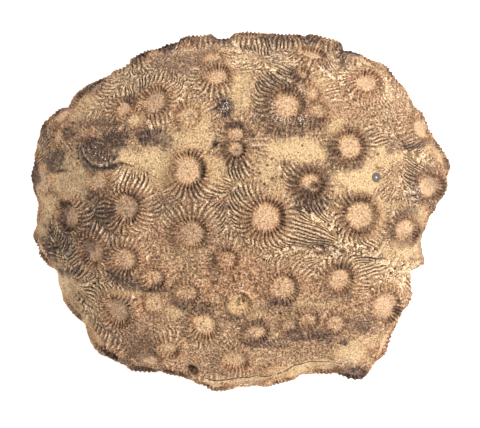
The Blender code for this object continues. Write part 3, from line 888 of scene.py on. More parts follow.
# %% The ribs and their grooves
CREST = 0.42  # height of ribs just outside the rim, mm
TROUGH = 0.62  # and depth of the grooves beside them
TAPER = 3.5  # steps over which a rib rises at its start and sinks at its end


def add_ribs(points, rng):
    """Crests and grooves as grown, tapered at the ends of each rib."""
    ages = np.array([
        min(min(step - rib.born + 1.0, rib.ended - step) for rib in ribs)
        for step, ribs in zip(growth.steps, growth.ribs)
    ])
    first = np.array([all(rib.born == 0 for rib in ribs) for ribs in growth.ribs])
    since = np.array(growth.steps, dtype=float)
    taper = ramp(ages, 0.0, TAPER)
    taper = np.where(first & (since < 4), np.maximum(taper, 0.8), taper)
    crest = np.array(growth.crest)
    owners = np.array(growth.owners)
    sharp = np.array([cup.sharp for cup in CUPS_ALL])[owners]
    # Ribs stand highest just outside the rim and sink with distance.
    strength = blend(0.7, 1.0, ramp(since, 0.0, 5.0)) * blend(1.0, 0.85, ramp(since, 0.0, 20.0))
    strength = strength * taper * blend(0.45, 1.0, sharp)
    relief = np.where(crest, CREST * strength, -TROUGH * strength)
    relief = relief + rng.normal(0.0, 0.06, len(relief))
    rim = 1.0 - ramp(since, 0.0, 4.0)
    # Grooves are painted dark, part dirt and part shade, and crests pale, part wear and part highlight.
    points.add(growth.places, relief=relief, groove=np.where(crest, 0.0, strength),
               crest=np.where(crest, strength, 0.0), rim=rim)


print(sum(growth.crest), "points on crests, the others in grooves")

# %% [markdown]
# ## Ledges and cracks
#
# Two ledges cross the head, each a low step with a brow and a toe, and there are some
# thin cracks. A painted shadow runs along each ledge, and each crack is painted dark
# along its bottom as shade. A step in a mesh is only crisp if an edge runs along it.
# So both get rows of points along their whole length, which joins them into such edges.

# %% Paths of the cracks
# Cracks, painted dark along their bottoms as shade, as plan paths.
CRACKS = [
    [(-58.4, 20.8), (-59.7, 18.4), (-58.6, 16.6)],
    [(-66.4, 14.6), (-63.0, 15.2), (-60.8, 13.0), (-61.4, 10.8)],
    [(-50.0, 30.6), (-44.0, 30.8), (-39.0, 32.2)],
    [(-48.6, 38.6), (-44.0, 40.2), (-38.0, 40.6)],
    [(-49.6, -18.8), (-45.0, -22.4), (-41.0, -26.4), (-36.6, -28.6)],
    [(-6.0, 29.4), (-3.4, 31.0), (1.2, 31.0)],
    [(-9.0, 55.6), (-4.0, 56.6), (0.0, 55.6)],
    [(-47.0, 24.6), (-44.0, 26.8), (-39.0, 26.2)],
]
LEDGE_SHADOW_ABOVE = (False, True)  # the first has a painted shadow at its toe, the second a pale brow with a painted shadow line behind it
CRACK_SIDE = 0.42  # from the bottom of a crack to the stone beside it, mm
CRACK_DEPTH = 0.5
CORNER_ROWS = 12  # points laid for each corner of a path
print(len(LEDGES), "ledges and", len(CRACKS), "cracks")


# %% Ledges and cracks as rows of points
def rows_along(path):
    """Close points along a plan path on the map, and the way to the left at each."""
    corners = map_from_plan(*np.array(path).T)
    along = np.linspace(0.0, len(corners) - 1.0, CORNER_ROWS * len(corners))
    line = np.stack([np.interp(along, np.arange(len(corners)), corners[:, k]) for k in (0, 1)], 1)
    run = np.gradient(line, axis=0)
    left = np.stack([-run[:, 1], run[:, 0]], axis=1) / np.hypot(*run.T)[:, None]
    return line, left


def add_lines(points, rng):
    """Rows along each ledge, on its brow and at its toe, and along each crack."""
    for (path, _height, _fade), shadow_above in zip(LEDGES, LEDGE_SHADOW_ABOVE):
        line, left = rows_along(path)
        brow, toe = line + left * LEDGE_HALF_WIDTH, line - left * LEDGE_HALF_WIDTH
        if shadow_above:
            # A painted shadow line on the high ground behind the pale brow.
            points.add(brow + left * 0.9, groove=0.6, kept=0.9)
            points.add(brow + left * 0.45, groove=1.0, kept=1.0)
            points.add(brow, crest=1.0, kept=1.0)
            points.add(toe, crest=1.0, kept=1.0)
        else:
            ends = np.minimum(np.linspace(0.0, 6.0, len(line)), np.linspace(6.0, 0.0, len(line)))
            points.add(brow, crest=1.0, kept=1.0)
            # A painted shadow at the toe, fading towards the ends.
            points.add(toe, groove=0.9, kept=1.0)
            points.add(toe - left * 0.8, groove=0.75 * smooth_step(ends), kept=1.0)
    for path in CRACKS:
        line, left = rows_along(path)
        open_here = rng.uniform(0.2, 1.0, len(line))  # a crack opens and closes along its way
        # Its bottom is painted dark as shade, more where it opens.
        points.add(line, pit=-CRACK_DEPTH * open_here, groove=open_here, kept=open_here)
        points.add(line + left * CRACK_SIDE)
        points.add(line - left * CRACK_SIDE)


scatter = np.random.default_rng(SEED + 1)
add_lines(points, scatter)
print(points.count(), "points with the ledges and cracks")

# %% Lay the cups and the ribs
for number, cup in enumerate(CUPS_ALL):
    add_cup(points, number, cup, scatter)
print(points.count(), "points with the cups")
add_ribs(points, scatter)
print(points.count(), "points with the ribs")

# %% [markdown]
# ## One skin
#
# Points of different origin can land almost on each other, which would make slivers.
# Laid down in order of importance, a point is kept only if none kept before it is
# too near. The bare patches that are left are filled with loosely even points, and
# all are joined into triangles on the flat map.

# %% Thin out
KEEP_APART = 0.34  # least distance between two points on the stone, mm
KEEP_ABOVE = 0.45  # least height of a point above the cut


def thin_out(spots):
    """Which points to keep: going down the list, each one drops the later ones near it."""
    tree = tree_of(spots)
    kept = np.ones(len(spots), dtype=bool)
    for number, spot in enumerate(spots.tolist()):
        if kept[number]:
            for _co, found, _far in tree.find_range(spot, KEEP_APART):
                if found > number:
                    kept[found] = False
    return kept


places = np.concatenate(points.places)
value = {kind: np.concatenate(parts) for kind, parts in points.values.items()}
spots = plain_skin(places)
kept = thin_out(spots) & (height_above_cut(places) > KEEP_ABOVE)
places, spots = places[kept], spots[kept]
value = {kind: values[kept] for kind, values in value.items()}
print(len(places), "points kept")

# %% Places to fill the bare patches
FILL_SPACING = 0.74  # between filling points on the dome, mm
FLANK_FILL = 1.3  # and low down on the flanks
FILL_ABOVE = 0.5  # least height of a filling point above the cut
ROW_STEP = 0.87  # rows lie a little closer than the points in them
FILL_JITTER = 0.22  # how far a point strays, in spacings


def fill_candidates(rng):
    """Loosely even places over the map, ring by ring down from the crown."""
    rows = []
    bearings = np.arange(0.0, 360.0, 1.0)
    turns = np.radians(bearings)
    longest = full_length(bearings).max()
    length, row = FILL_SPACING, 0
    while length < longest:
        circle = length * np.stack([np.cos(turns), np.sin(turns)], axis=1)
        spots = plain_skin(circle)
        around = np.linalg.norm(spots - np.roll(spots, 1, axis=0), axis=1).sum()
        level = ramp(np.median(spots[:, 2]), FLANK_FOOT, FLANK_HEIGHT)
        spacing = float(blend(FLANK_FILL, FILL_SPACING, level))
        count = int(around / spacing)
        turn = 2.0 * math.pi * (np.arange(count) + 0.5 * (row % 2)) / count
        places = length * np.stack([np.cos(turn), np.sin(turn)], axis=1)
        rows.append(places + rng.uniform(-FILL_JITTER, FILL_JITTER, places.shape) * spacing)
        length, row = length + ROW_STEP * spacing, row + 1
    places = np.concatenate(rows)
    return places[height_above_cut(places) > FILL_ABOVE]


extra = fill_candidates(scatter)
print(len(extra), "places could be filled")

# %% Fill the bare patches
FILL_GAP = 0.78  # how near a filling point may come to another, in spacings


def far_from(spots, others, least):
    """Which spots lie farther than the least from every other point."""
    tree = tree_of(others)
    gaps = np.array([tree.find(spot)[2] for spot in spots.tolist()])
    return gaps > least


extra_spots = plain_skin(extra)
fill_gap = FILL_GAP * blend(FLANK_FILL, FILL_SPACING, seen_share(extra_spots))
extra = extra[far_from(extra_spots, spots, fill_gap)]
places = np.concatenate([places, extra])
print(len(extra), "of them are bare")

# %% What the filling points are part of
count = len(extra)
inside = np.array([cup.ratio(extra) for cup in CUPS_ALL])
nearest = inside.argmin(axis=0)
inside = inside.min(axis=0)
profile = np.array(CUP_PROFILE)
depths = np.array([cup.depth for cup in CUPS_ALL])[nearest]
fill = {kind: np.zeros(count) for kind in Points.KINDS}
fill["pit"] = depths * np.interp(inside, profile[:, 0], profile[:, 1:3].mean(axis=1), right=0.0)
fill["relief"] = scatter.normal(0.0, 0.08, count)
fill["groove"] = np.where(inside < 1.0, 0.0, scatter.uniform(0.0, 0.5, count))
fill["crest"] = np.where(inside < 1.0, 0.0, scatter.uniform(0.0, 0.5, count))
fill["floor"] = 1.0 - ramp(inside, 0.88, 0.35)
value = {kind: np.concatenate([values, fill[kind]]) for kind, values in value.items()}
print(len(places), "points in all")

# %% Lift the points off the dome
FOOT_COLUMNS = 360  # points along the foot line, one for each degree
FOOT_FADE = 4.0  # mounds die away over this height above the cut, mm

above = height_above_cut(places)
ground = ground_rise(places, CUPS_ALL) * smooth_step(above / FOOT_FADE)
normals = outward(places)
base = plain_skin(places) + normals * ground[:, None]
foot_bearings = np.arange(FOOT_COLUMNS) * 360.0 / FOOT_COLUMNS
foot_alongs = np.full(FOOT_COLUMNS, FOOT)
foot = dome_point(foot_bearings, foot_alongs)
foot[:, 2] = 0.0
print("the ground rises by up to", round(float(ground.max()), 1), "mm over the plain dome")

# %% Join them on the flat map
SAME_PLACE = 1e-5  # points nearer than this would be joined into one
INSIDE_LOOP = 1  # the choice that keeps only triangles inside the outer loop


def join_flat(flat, loop_length):
    """Triangles over flat points whose first ones form the outer loop, and new numbers."""
    loop = list(range(loop_length))
    corners = [Vector(place) for place in flat.tolist()]
    found = delaunay_2d_cdt(corners, [], [loop], INSIDE_LOOP, SAME_PLACE)
    triangles, origins = found[2], found[3]
    return triangles, np.array([origin[0] for origin in origins])


flat = np.concatenate([to_map(foot_bearings, foot_alongs), places])
faces, order = join_flat(flat, FOOT_COLUMNS)
print(len(order), "corners and", len(faces), "triangles in the skin")

# %% [markdown]
# ## The sawn foot
#
# The head is sawn flat underneath and rests on that cut. One great polygon could close
# it, but a face with 360 corners breaks up badly when it is turned into triangles. So
# some rings of inner points are added, and the same joining fills the outline with
# triangles. They are turned over, because a foot has to face down.

# %% Close the sawn foot
FOOT_RINGS = (0.9, 0.7, 0.5, 0.3, 0.1)  # shares of the outline, about the crown
FOOT_EVERY = 12  # an inner ring takes one in so many points of the foot line


def foot_faces(foot):
    """Inner points of the sawn foot, and triangles over it that face down."""
    rings = [CROWN_AT + (foot[::FOOT_EVERY, :2] - CROWN_AT) * share for share in FOOT_RINGS]
    inner = np.concatenate(rings + [CROWN_AT[None, :]])
    triangles, numbers = join_flat(np.concatenate([foot[:, :2], inner]), len(foot))
    faces_down = [[int(numbers[corner]) for corner in reversed(face)] for face in triangles]
    return np.column_stack([inner, np.zeros(len(inner))]), faces_down


foot_inner, foot_triangles = foot_faces(foot)
at_foot_line = {int(origin): number for number, origin in enumerate(order) if origin < FOOT_COLUMNS}
skin_count = len(order)
closing = [
    [at_foot_line[n] if n < FOOT_COLUMNS else skin_count + n - FOOT_COLUMNS for n in face]
    for face in foot_triangles
]
faces = faces + closing
print(len(closing), "triangles close the foot")
# %% [markdown]
# ## Silt, stain, painted shadow and warmth
#
# The head is not one colour. Fine yellow silt smooths some hollows over, a brown to
# purple stain sits in rough patches, and some cups are warmer than others. Along the
# back edge and in a few other places the same dark patches are painted shadow. Each
# could be painted on an image, but an image needs unwrapping and has a fixed
# fineness. So each is an attribute from 0 to 1 on the skin, laid as soft ovals whose
# edges are broken by noise. The silt does more than colour: where it lies, the ribs
# are buried.

# %% Soft ovals with broken edges
RAGGED = 0.6  # how far noise moves the edge of an oval, as a share of its size
OVAL_CORE, OVAL_EDGE = 0.6, 0.75  # where an oval starts to fade, and over what share


def oval_patches(spots, ovals, seed, ragged=RAGGED):
    """Ovals with edges broken by noise, 0 outside and up to their strength inside."""
    rough = ragged * (noise_at(spots, 5.0, seed) + 0.8 * noise_at(spots, 1.9, seed + 1.0))
    total = np.zeros(len(spots))
    for x, y, half_width, half_height, turn, strength in ovals:
        angle = math.radians(turn)
        across, up = spots[:, 0] - x, spots[:, 1] - y
        along = (across * math.cos(angle) + up * math.sin(angle)) / half_width
        aside = (up * math.cos(angle) - across * math.sin(angle)) / half_height
        away = np.hypot(along, aside) + rough
        total = np.maximum(total, strength * (1.0 - ramp(away, OVAL_CORE, OVAL_EDGE)))
    return total


# The ovals are measured from above, and would run down the flank as stripes. Below
# this level patches of their own, from noise alone, take over.
FLANK_TOP, FLANK_BLEND = 9.0, 10.0


def patches(ovals, seed, on_flank):
    """The ovals on what faces up, and patches from noise on the flank below."""
    upper = ramp(base[:, 2], FLANK_TOP, FLANK_BLEND)
    cloud = noise_at(base, 9.0, seed + 2.0) + 0.5 * noise_at(base, 3.0, seed + 3.0)
    return blend(on_flank * ramp(cloud, 0.05, 0.5), oval_patches(base, ovals, seed), upper)


def show_share(name, values):
    """Prints how strong something is, averaged over the points."""
    print(name, "averages", round(float(np.mean(values)), 2), "over the skin")


# %% Silt
# Each oval is plan x, plan y, half width, half height, turn in degrees, strength.
SILT = [
    (-69, 3, 4.4, 5.5, 0, 1), (-0.6, -32.8, 4.4, 3.2, 40, 1), (-37, 32.4, 3.6, 2.6, 0, 0.8),
    (-57, 38, 5, 4.4, 20, 0.6), (22, -55.6, 14, 1.6, 8, 1), (1, -60.2, 12, 1.2, 5, 0.8),
    (15, -57.6, 5, 2.6, 0, 0.8), (-1.5, -52.5, 4, 2.6, 0, 0.5), (-62, 12, 11, 9, 0, 0.85),
    (-72, 4, 3, 6, 0, 0.7), (-33, 18.5, 11, 4.5, -4, 1), (-20, 26, 10, 4.5, 5, 0.85),
    (-15, 33, 5, 4.5, 0, 0.6), (0.5, 43, 3.5, 8, -15, 0.75), (-28, 12.5, 5, 4, 0, 0.6),
    (-9, 15, 4, 5, 0, 0.6), (20, 21.5, 11, 4.2, 2, 1), (9, 15.5, 5, 5.5, 0, 0.75),
    (42, 11.5, 10, 5, -5, 1), (52, 19, 5, 4, 0, 0.85), (34, 30, 4.5, 2.2, 40, 0.95),
    (12, 7, 3.5, 4, 0, 0.45), (69, 22, 4, 2.5, -30, 0.6), (56, 1.8, 4.5, 1.5, -10, 0.6),
    (57, -13.5, 7, 3.6, -10, 1), (65, -2, 3, 5, 0, 0.8), (49.5, 0, 1.8, 6, 0, 0.7),
    (40, -50.6, 6.5, 4.6, 15, 1), (47, -47, 5, 2.5, 20, 0.55), (26, -33, 9, 2, 0, 0.35),
    (4, -37.5, 4, 1.2, 20, 0.6), (-63.2, -28.5, 4.6, 9.5, 25, 1), (-55.5, -43, 2.6, 7.5, 25, 1),
    (-42, -29, 10, 1.3, -3, 0.6), (-24, -36, 5, 1.8, -8, 0.65), (-71, -4, 3, 6, 0, 0.6),
    (-20, -14, 7, 4, 0, 0.3), (28.5, 46, 3, 3, 0, 0.5), (-31, -32.3, 3, 2.8, 0, 0.7),
    (-12.5, -39.6, 4.6, 2.6, 0, 1), (48, -5, 3, 5, 0, 0.4),
]
silt = patches(SILT, 3.0, 0.8)
show_share("silt", silt)

# %% Stain and painted shadow
# Brown to purple stain. Some ovals are painted shadow instead: those along the back edge between its
# mounds, those over some cups at the upper left edge, one below a cup and the thin ones along some
# cracks.
STAIN_AND_SHADOW = [
    (-51, 21, 9, 6, -10, 1), (-44, 25.4, 7.5, 4, -5, 1), (-33, 26.4, 8, 3.2, -8, 1),
    (-66.5, 18.2, 4.2, 3.2, 30, 1), (-66, 14.6, 4, 1.1, 0, 1), (-75, 14, 2.6, 7, 0, 1),
    (-71, 28, 3, 5, 0, 0.6), (-61, 28, 2.2, 2.8, 0, 0.8), (-39, 40, 3.5, 2, 0, 0.65),
    (-37, 55.5, 3.4, 3, 30, 0.95), (-27, 60.4, 8, 2.6, 15, 1), (-20, 62.6, 5, 2, 10, 0.8),
    (-6.6, 63.2, 5.4, 3, 5, 1), (-24, 52, 9, 5.5, 0, 0.35), (-36, 47, 5, 5, 0, 0.35),
    (-50, 31.5, 10, 1.2, 0, 0.6), (-6, 37, 2.8, 3.6, 20, 1), (-9, 24, 1.6, 1.8, 0, 1),
    (-3, 30.5, 4, 1.3, 10, 0.9), (-1.5, 17, 3.2, 7, 0, 0.6), (2, 23, 3, 3, 0, 0.45),
    (-13.5, 14.5, 1.3, 2.6, 0, 0.85), (-24, 15, 1.6, 4, 0, 0.6), (-52, 4, 6.5, 4.5, 0, 0.7),
    (-27, 2, 6, 4, 0, 0.5), (-18, 6.5, 4, 2.6, 0, 0.55), (-5, 2, 6, 2, 0, 0.6),
    (13, 63, 6, 3, 0, 1), (24, 62.4, 5, 3.2, 0, 1), (2, 63, 4, 2, 0, 0.35),
    (31, 58.6, 3, 3, -30, 0.5), (31.5, 53.5, 3, 3.5, 0, 0.5), (38, 58.4, 5, 2.4, -10, 1),
    (36, 54, 2.4, 3, 0, 0.7), (54, 51, 1.6, 1.6, 0, 0.5), (12, 56, 4, 2.4, 0, 0.7),
    (15, 46.5, 9.5, 3.4, 12, 0.65), (8.5, 35, 4, 6, 0, 0.5), (16, 29, 11, 3.2, 4, 0.6),
    (27, 31.5, 4, 2.6, 0, 0.5), (32.8, 20, 2.4, 6, 0, 0.65), (40, 16.3, 4.5, 1.4, 0, 0.65),
    (45, 27, 1.6, 4, 0, 0.4), (57, 25, 5, 3, 0, 0.35), (62.5, 23.5, 4.5, 1.2, 10, 0.85),
    (53, 21.5, 1.5, 1.2, 0, 0.6), (-52, 45.6, 4.4, 2.4, 20, 0.75),
    (-58, 43.4, 3, 1.6, 35, 0.75), (-65, 37.4, 5, 1.2, 20, 0.6), (-73.4, 27, 1.6, 4.4, 0, 0.8),
    (-42, 52, 3.4, 1.4, 40, 0.6), (-63.9, -1, 1.7, 4.8, -18, 1), (-55.6, -14, 1.7, 5, -8, 0.8),
    (-47, -46.8, 4.4, 1.2, -10, 0.6), (71.6, 26, 2, 3.4, 0, 0.5), (75.4, 17, 1.5, 4, 0, 0.6),
    (70, 1, 2, 2, 0, 0.7), (23, 15, 3.5, 1.5, 0, 0.85), (25, 3.8, 7, 4.2, 0, 0.85),
    (19, 8.5, 2.4, 5, 0, 0.6), (30, 12, 1.8, 4, 0, 0.7), (42, 4.6, 4.5, 1.2, 0, 0.7),
    (37.4, 1.5, 1.5, 4, 0, 0.5), (62, 10, 2.4, 6, 0, 0.65), (70.5, 12, 2.5, 5, 0, 0.45),
    (60, 0.5, 4.5, 2, 0, 0.6), (55, -6, 1.6, 4, 0, 0.5), (61, -9, 3, 1.4, 0, 0.5),
    (-1, 6, 3, 3, 0, 0.55), (24, 0.3, 6, 1.4, 0, 0.7), (-64, -11, 7, 6, 0, 0.95),
    (-56, -5, 4, 6, 0, 0.8), (-15, 60.5, 6, 3, 0, 0.4), (-50.5, -2, 6, 7, 0, 0.9),
    (-14, -5, 16, 9, 0, 0.3), (-62, -10, 10, 9, 0, 0.6), (-47, -14, 2, 6, -20, 0.6),
    (-54, -12, 2, 4, 0, 0.7), (-60.5, -21.8, 4.6, 1.7, -3, 1), (-41, -24, 7, 3, -28, 0.75),
    (-33, -27.8, 5, 1.3, -5, 0.65), (-28, -27, 2.6, 2.2, 0, 0.7), (-17, -34, 8, 2.2, -8, 0.7),
    (-5, -38.2, 7, 1.8, 0, 0.45), (-58, -38.5, 1.4, 1.6, 0, 0.9), (-47, -52, 7, 1.7, -20, 0.85),
    (-38, -47, 2.6, 4, 0, 0.5), (-36, -51.5, 1.3, 3, 0, 0.6), (-26, -58, 7, 1.3, -6, 0.6),
    (-5, -13.8, 2.6, 0.9, 0, 0.85), (-9, -17, 1.6, 2.4, 0, 0.5), (-10, -22, 2.4, 2.2, 0, 0.45),
    (-45, -7, 3, 4, 0, 0.5), (34, -14, 3, 2.8, 0, 0.4), (28, -12, 8, 2.2, -10, 0.5),
    (46, -16, 4.5, 1.8, 0, 0.5), (35.5, -19, 4, 0.9, 0, 0.85), (36, -30, 6, 1, -5, 0.35),
    (14.5, -32.6, 4.6, 1.6, 0, 0.7), (42, -41, 5.5, 2.8, 0, 0.6),
    (58.6, -37, 2.6, 2.4, 30, 0.8), (24, -44, 10, 2.4, 0, 0.75), (8, -47, 8, 1.6, 0, 0.7),
    (42, -58.6, 7, 3, 0, 1), (5.4, -41, 4.6, 2.4, 20, 0.6), (18, -41, 3, 3, 0, 0.3),
    (37, -47, 1.4, 1.2, 0, 0.9), (66, -6.5, 0.9, 0.9, 0, 0.9), (65.5, -12, 0.8, 1.2, 0, 0.9),
    (-9, -25, 1, 1, 0, 0.7), (-39.8, 1.3, 5, 5, 0, 0.55), (-30.1, 38.3, 5, 4.5, 0, 0.3),
    (-43.4, -35.1, 5.5, 5.5, 0, 0.35), (-62, 12, 11, 9, 0, 0.25), (-37, -46, 9.5, 8, 0, 0.42),
    (-58, -20, 24, 40, 0, 0.16), (12, 53, 2, 1, 0, 0.6), (-37, -57, 8, 1, 0, 0.7),
    (-68, 8, 1.6, 2.4, 0, 0.5), (-60, -34, 3, 5, -30, 0.4), (17, 61, 6, 1.8, 0, 1),
    (-16, 60.5, 3, 1.6, 0, 0.8), (3, 58.6, 3, 1, 0, 0.6),
]
# Cups with a ring of stain round them: plan x, plan y, inner and outer radius, strength.
STAIN_RINGS = [
    (38.5, 23, 4.4, 7.2, 0.34), (42.5, -1.5, 4.8, 7, 0.54), (59, -6.5, 3.6, 6.8, 0.5),
    (67, 9, 3.9, 7.6, 0.5), (25, 10, 3.5, 7, 0.47), (16, 37.5, 4.8, 8.6, 0.36),
    (-1.5, 22, 2.6, 5, 0.36), (-18.5, 14.5, 4.9, 6.6, 0.36), (9, -2, 5.1, 7.2, 0.32),
    (35, -24, 4, 5.6, 0.4), (6, -43, 3, 5, 0.4), (15, -27, 3.6, 5.4, 0.25),
    (-40, 1.5, 4.4, 6.6, 0.29), (-8, 47.5, 3.8, 5.4, 0.29), (24.5, -38.5, 2.6, 4.2, 0.29),
    (34, -40, 2.8, 4.6, 0.29), (-43.5, -35, 4.4, 6, 0.22), (-30, 38.5, 4, 6, 0.25),
    (51, -34, 3.4, 5.4, 0.29), (-25, -48, 3, 4.6, 0.25), (64, 29.5, 3.4, 5, 0.29),
]

def ring_patches(spots, rings, seed):
    """Rings of stain, ragged on the outside."""
    rough = 2.4 * noise_at(spots, 3.0, seed)
    total = np.zeros(len(spots))
    for x, y, inner, outer, strength in rings:
        away = np.hypot(spots[:, 0] - x, spots[:, 1] - y)
        band = ramp(away, inner, 0.8) * (1.0 - ramp(away + rough - outer, -1.2, 2.0))
        total = np.maximum(total, strength * band)
    return total


stain = np.maximum(patches(STAIN_AND_SHADOW, 11.0, 0.7), ring_patches(base, STAIN_RINGS, 15.0))
show_share("stain", stain)

# %% Warmer stone
WARM = [
    (-18, 60, 4.5, 2.8, 0, 0.7), (-55, 28.5, 2, 1.6, 0, 0.9), (-45, 50, 3, 1.2, 30, 0.7),
    (-63, 34, 4.5, 2.6, 0, 0.45), (-40.5, 36.5, 2.6, 2, 0, 0.6), (40, 43, 15, 10, -15, 0.4),
    (22, 46, 4, 3, 0, 0.35), (-30, -23, 3, 3, 0, 0.9), (-51.5, -12, 2, 3.6, 0, 0.65),
    (-35, -17, 5, 4, 0, 0.5), (-30, -9, 11, 5, 0, 0.45), (-4.5, -18, 3.4, 4.4, 0, 0.6),
    (0, -25, 13, 8, 0, 0.6), (14.5, -27, 4.6, 5.6, 0, 0.7), (-44, -46, 11, 8, -20, 0.45),
    (-35, -34, 2, 4.5, 0, 1), (-18, -54, 4, 3, 0, 0.7), (12, -58, 13, 2.6, 5, 0.55),
    (46, -33, 9, 7, 0, 0.45), (49, -53, 5, 5, 0, 0.45), (72, 15, 2, 4, 0, 0.8),
    (-12, 3, 8, 2, 0, 0.45), (26, -27, 4, 4, 0, 0.35), (34, -40, 4, 3.5, 0, 0.5),
    (-9, -31, 4, 2.4, 0, 0.4), (-4, -60, 14, 3, 0, 0.35), (-23, -55, 6, 3, 0, 0.5),
    (-7, 49, 3, 2, 0, 0.4), (58, 33, 4, 4, 0, 0.35), (30, 53, 8, 3, 0, 0.3),
]
warm = patches(WARM, 19.0, 0.5)
show_share("warmth", warm)

# %% Crumbled ground
# Here the ribs have weathered away to rough grit.
CRUMBLE = [
    (-9, -26, 27, 15, -8, 1), (25, -33, 21, 9, -8, 0.7), (-35, -44, 8, 8, -20, 0.8),
    (30, -46, 18, 6, 5, 0.8), (42, 36, 12, 6, -15, 0.5), (9, 13, 5, 4.5, 0, 0.4),
    (-56, 29, 9, 4, 0, 0.6), (-27, -9, 10, 5, 0, 0.6), (57, 32, 5, 7, 0, 0.5),
    (-4, -50, 18, 6, 0, 0.5), (48, -29, 5, 3, 0, 0.4), (-22, 53, 12, 5, 0, 0.5),
    (16, 30, 12, 4, 4, 0.7), (26, 38, 5, 6, 0, 0.5), (-14, 30, 9, 6, 0, 0.4),
]
crumble = patches(CRUMBLE, 27.0, 0.6)
show_share("crumbled ground", crumble)

# %% Calcite
# Here white calcite has grown over the stone as small crystals.
CALCITE = [
    (11.0, 36.8, 1.2, 3, 10, 1), (14.6, 32.6, 4.6, 1.1, -8, 1), (21, 33.0, 2.4, 1.6, 0, 0.9),
    (63.2, 6.6, 1.4, 2.8, 30, 1), (-48, 18.2, 1.2, 2, 0, 0.5), (-52, 21.5, 3, 1.6, 0, 0.15),
    (0.6, -27, 1.4, 1.2, 0, 0.9), (21.5, 42.4, 2, 0.8, 0, 0.6), (53, 35, 2.2, 1.6, 0, 0.5),
    (-5.4, 36.5, 1.2, 1.6, 0, 0.5), (6, -33, 1, 1, 0, 0.6), (-16, 40, 3, 1, -20, 0.3),
]
calcite = oval_patches(base, CALCITE, 43.0)
show_share("calcite", calcite)

# %% Bold ribs
# Here the ribs stand out most, and everywhere else they are this faint.
FAINT_RIBS = 0.68
BOLD = [
    (-43.5, -35, 9, 9, 0, 1), (50.5, -34, 9, 8, 0, 0.9), (55, -20, 12, 7, -10, 1),
    (44, 46, 12, 10, 0, 0.85), (38, 54, 8, 6, -25, 0.9), (27, 56, 10, 6, 0, 0.9),
    (-46, 42, 8, 8, 0, 0.9), (-55, -34, 8, 8, 0, 1), (8, -5, 14, 13, 0, 0.85),
    (30, -6, 13, 8, -15, 1), (54, -20, 11, 4, -10, 1), (-42, 12, 9, 5, -15, 1),
    (-15, 6, 9, 5, 0, 0.8), (-57, 3, 9, 7, 0, 0.8), (-52, 41, 10, 6, 30, 0.6),
    (5, 57, 10, 5, 0, 0.9), (27, 55, 10, 5, 0, 0.9), (15, 61, 7, 3, 0, 1),
    (-1, 14, 4.5, 9, 0, 1), (-57, -35, 6, 6, 0, 0.9), (-13, -45, 9, 4, 0, 0.7),
    (35, 45, 8, 6, 0, 0.6), (57, 30, 8, 5, 0, 0.5), (48, 52, 8, 4, -40, 0.6),
    (-66, 5, 5, 6, 0, 0.7), (-64, -12, 8, 8, 0, 0.7), (-8, 42, 8, 8, 0, 0.5),
    (-35, 50, 8, 5, 20, 0.6), (14, 42, 14, 9, 0, 0.5), (40, 22, 10, 9, 0, 0.4),
    (66, 10, 8, 9, 0, 0.6), (60, -6, 7, 7, 0, 0.4), (37, -22, 11, 9, 0, 0.4),
    (-42, -3, 9, 8, 0, 0.5), (-68, -12, 4, 8, 0, 0.6), (14, 50, 10, 4, 0, 0.6),
    (-42, -17, 6, 5, 0, 0.5), (40, -12, 8, 5, 0, 0.7),
]
bold = blend(FAINT_RIBS, 1.0, oval_patches(base, BOLD, 35.0, 0.4))
show_share("strength of the ribs", bold)

# %% [markdown]
# ## What the silt and the weather have left
#
# The ribs and septa were laid as if the stone were fresh. On the real one silt fills
# the grooves, crumbled ground has lost its ribs, and the rest is worn unevenly, while
# the rims still stand out. A second mesh of silt could lie over the first, but it
# would flicker where the two nearly touch. So the fine relief is made lower instead,
# and the marks that colour the grooves and crests are made fainter with it.

# %% Bury and wear the fine relief
FINE_FADE = 1.2  # fine relief dies away nearer to the cut than the mounds do
FLOOR_GRIT, CRUMBLE_GRIT = 0.06, 0.2  # unevenness of sound and of crumbled ground, mm

floor, rim, marked = value["floor"], value["rim"], value["kept"]
wear = 0.5 + 0.5 * noise_at(base, 3.1, 31.0) + 0.3 * noise_at(base, 1.2, 33.0)
wear = np.clip(wear, 0.0, 1.0)
# Silt and wear bury the fine relief, but not the pits, which keep their depth.
bare = np.clip(1.0 - 0.92 * silt - 0.7 * crumble * (1.0 - 0.6 * rim), 0.0, 1.0)
fine = value["relief"] * bare * blend(bold, 1.0, 0.7 * rim) * blend(0.75, 1.2, wear)
grit = scatter.normal(0.0, 1.0, len(fine)) * blend(FLOOR_GRIT, CRUMBLE_GRIT, crumble)
fine = fine + grit * (1.0 - 0.8 * silt)
relief = (value["pit"] + fine) * smooth_step(above / FINE_FADE)
print("relief from", round(float(relief.min()), 1), "to", round(float(relief.max()), 1), "mm")

# %% Fade the marks with it
shown = (1.0 - 0.9 * silt) * (1.0 - 0.6 * crumble * (1.0 - 0.2 * rim)) * blend(bold, 1.0, 0.4 * rim)
shown = np.maximum(shown * blend(0.7, 1.15, wear), marked)
groove = value["groove"] * shown
crest = value["crest"] * shown
floor = floor * (1.0 - 0.35 * crumble) * (1.0 - 0.75 * silt) * (1.0 - marked)
rim = rim * (1.0 - 0.7 * crumble)
# Teeth stand on the crests close to the rims, where silt and wear have left them.
tooth = (crest > 0.3) & (rim > 0.4) & (silt < 0.3) & (normals[:, 2] > 0.55)
# The hollows full of silt, and the floors, have no hard edges.
smooth = 0.7 * np.maximum(silt, 0.6 * floor)
print(int(tooth.sum()), "points can carry a tooth")

# %% [markdown]
# ## One mesh that knows what it is made of
#
# All that was worked out above has to reach the node trees. Vertex groups could hold
# it, but they are slower to fill and hold shares alone. Named attributes hold any
# number at every corner, and both Geometry Nodes and the material read them by name.
# The mesh itself stays at the smooth ground, and the relief is one of its attributes.

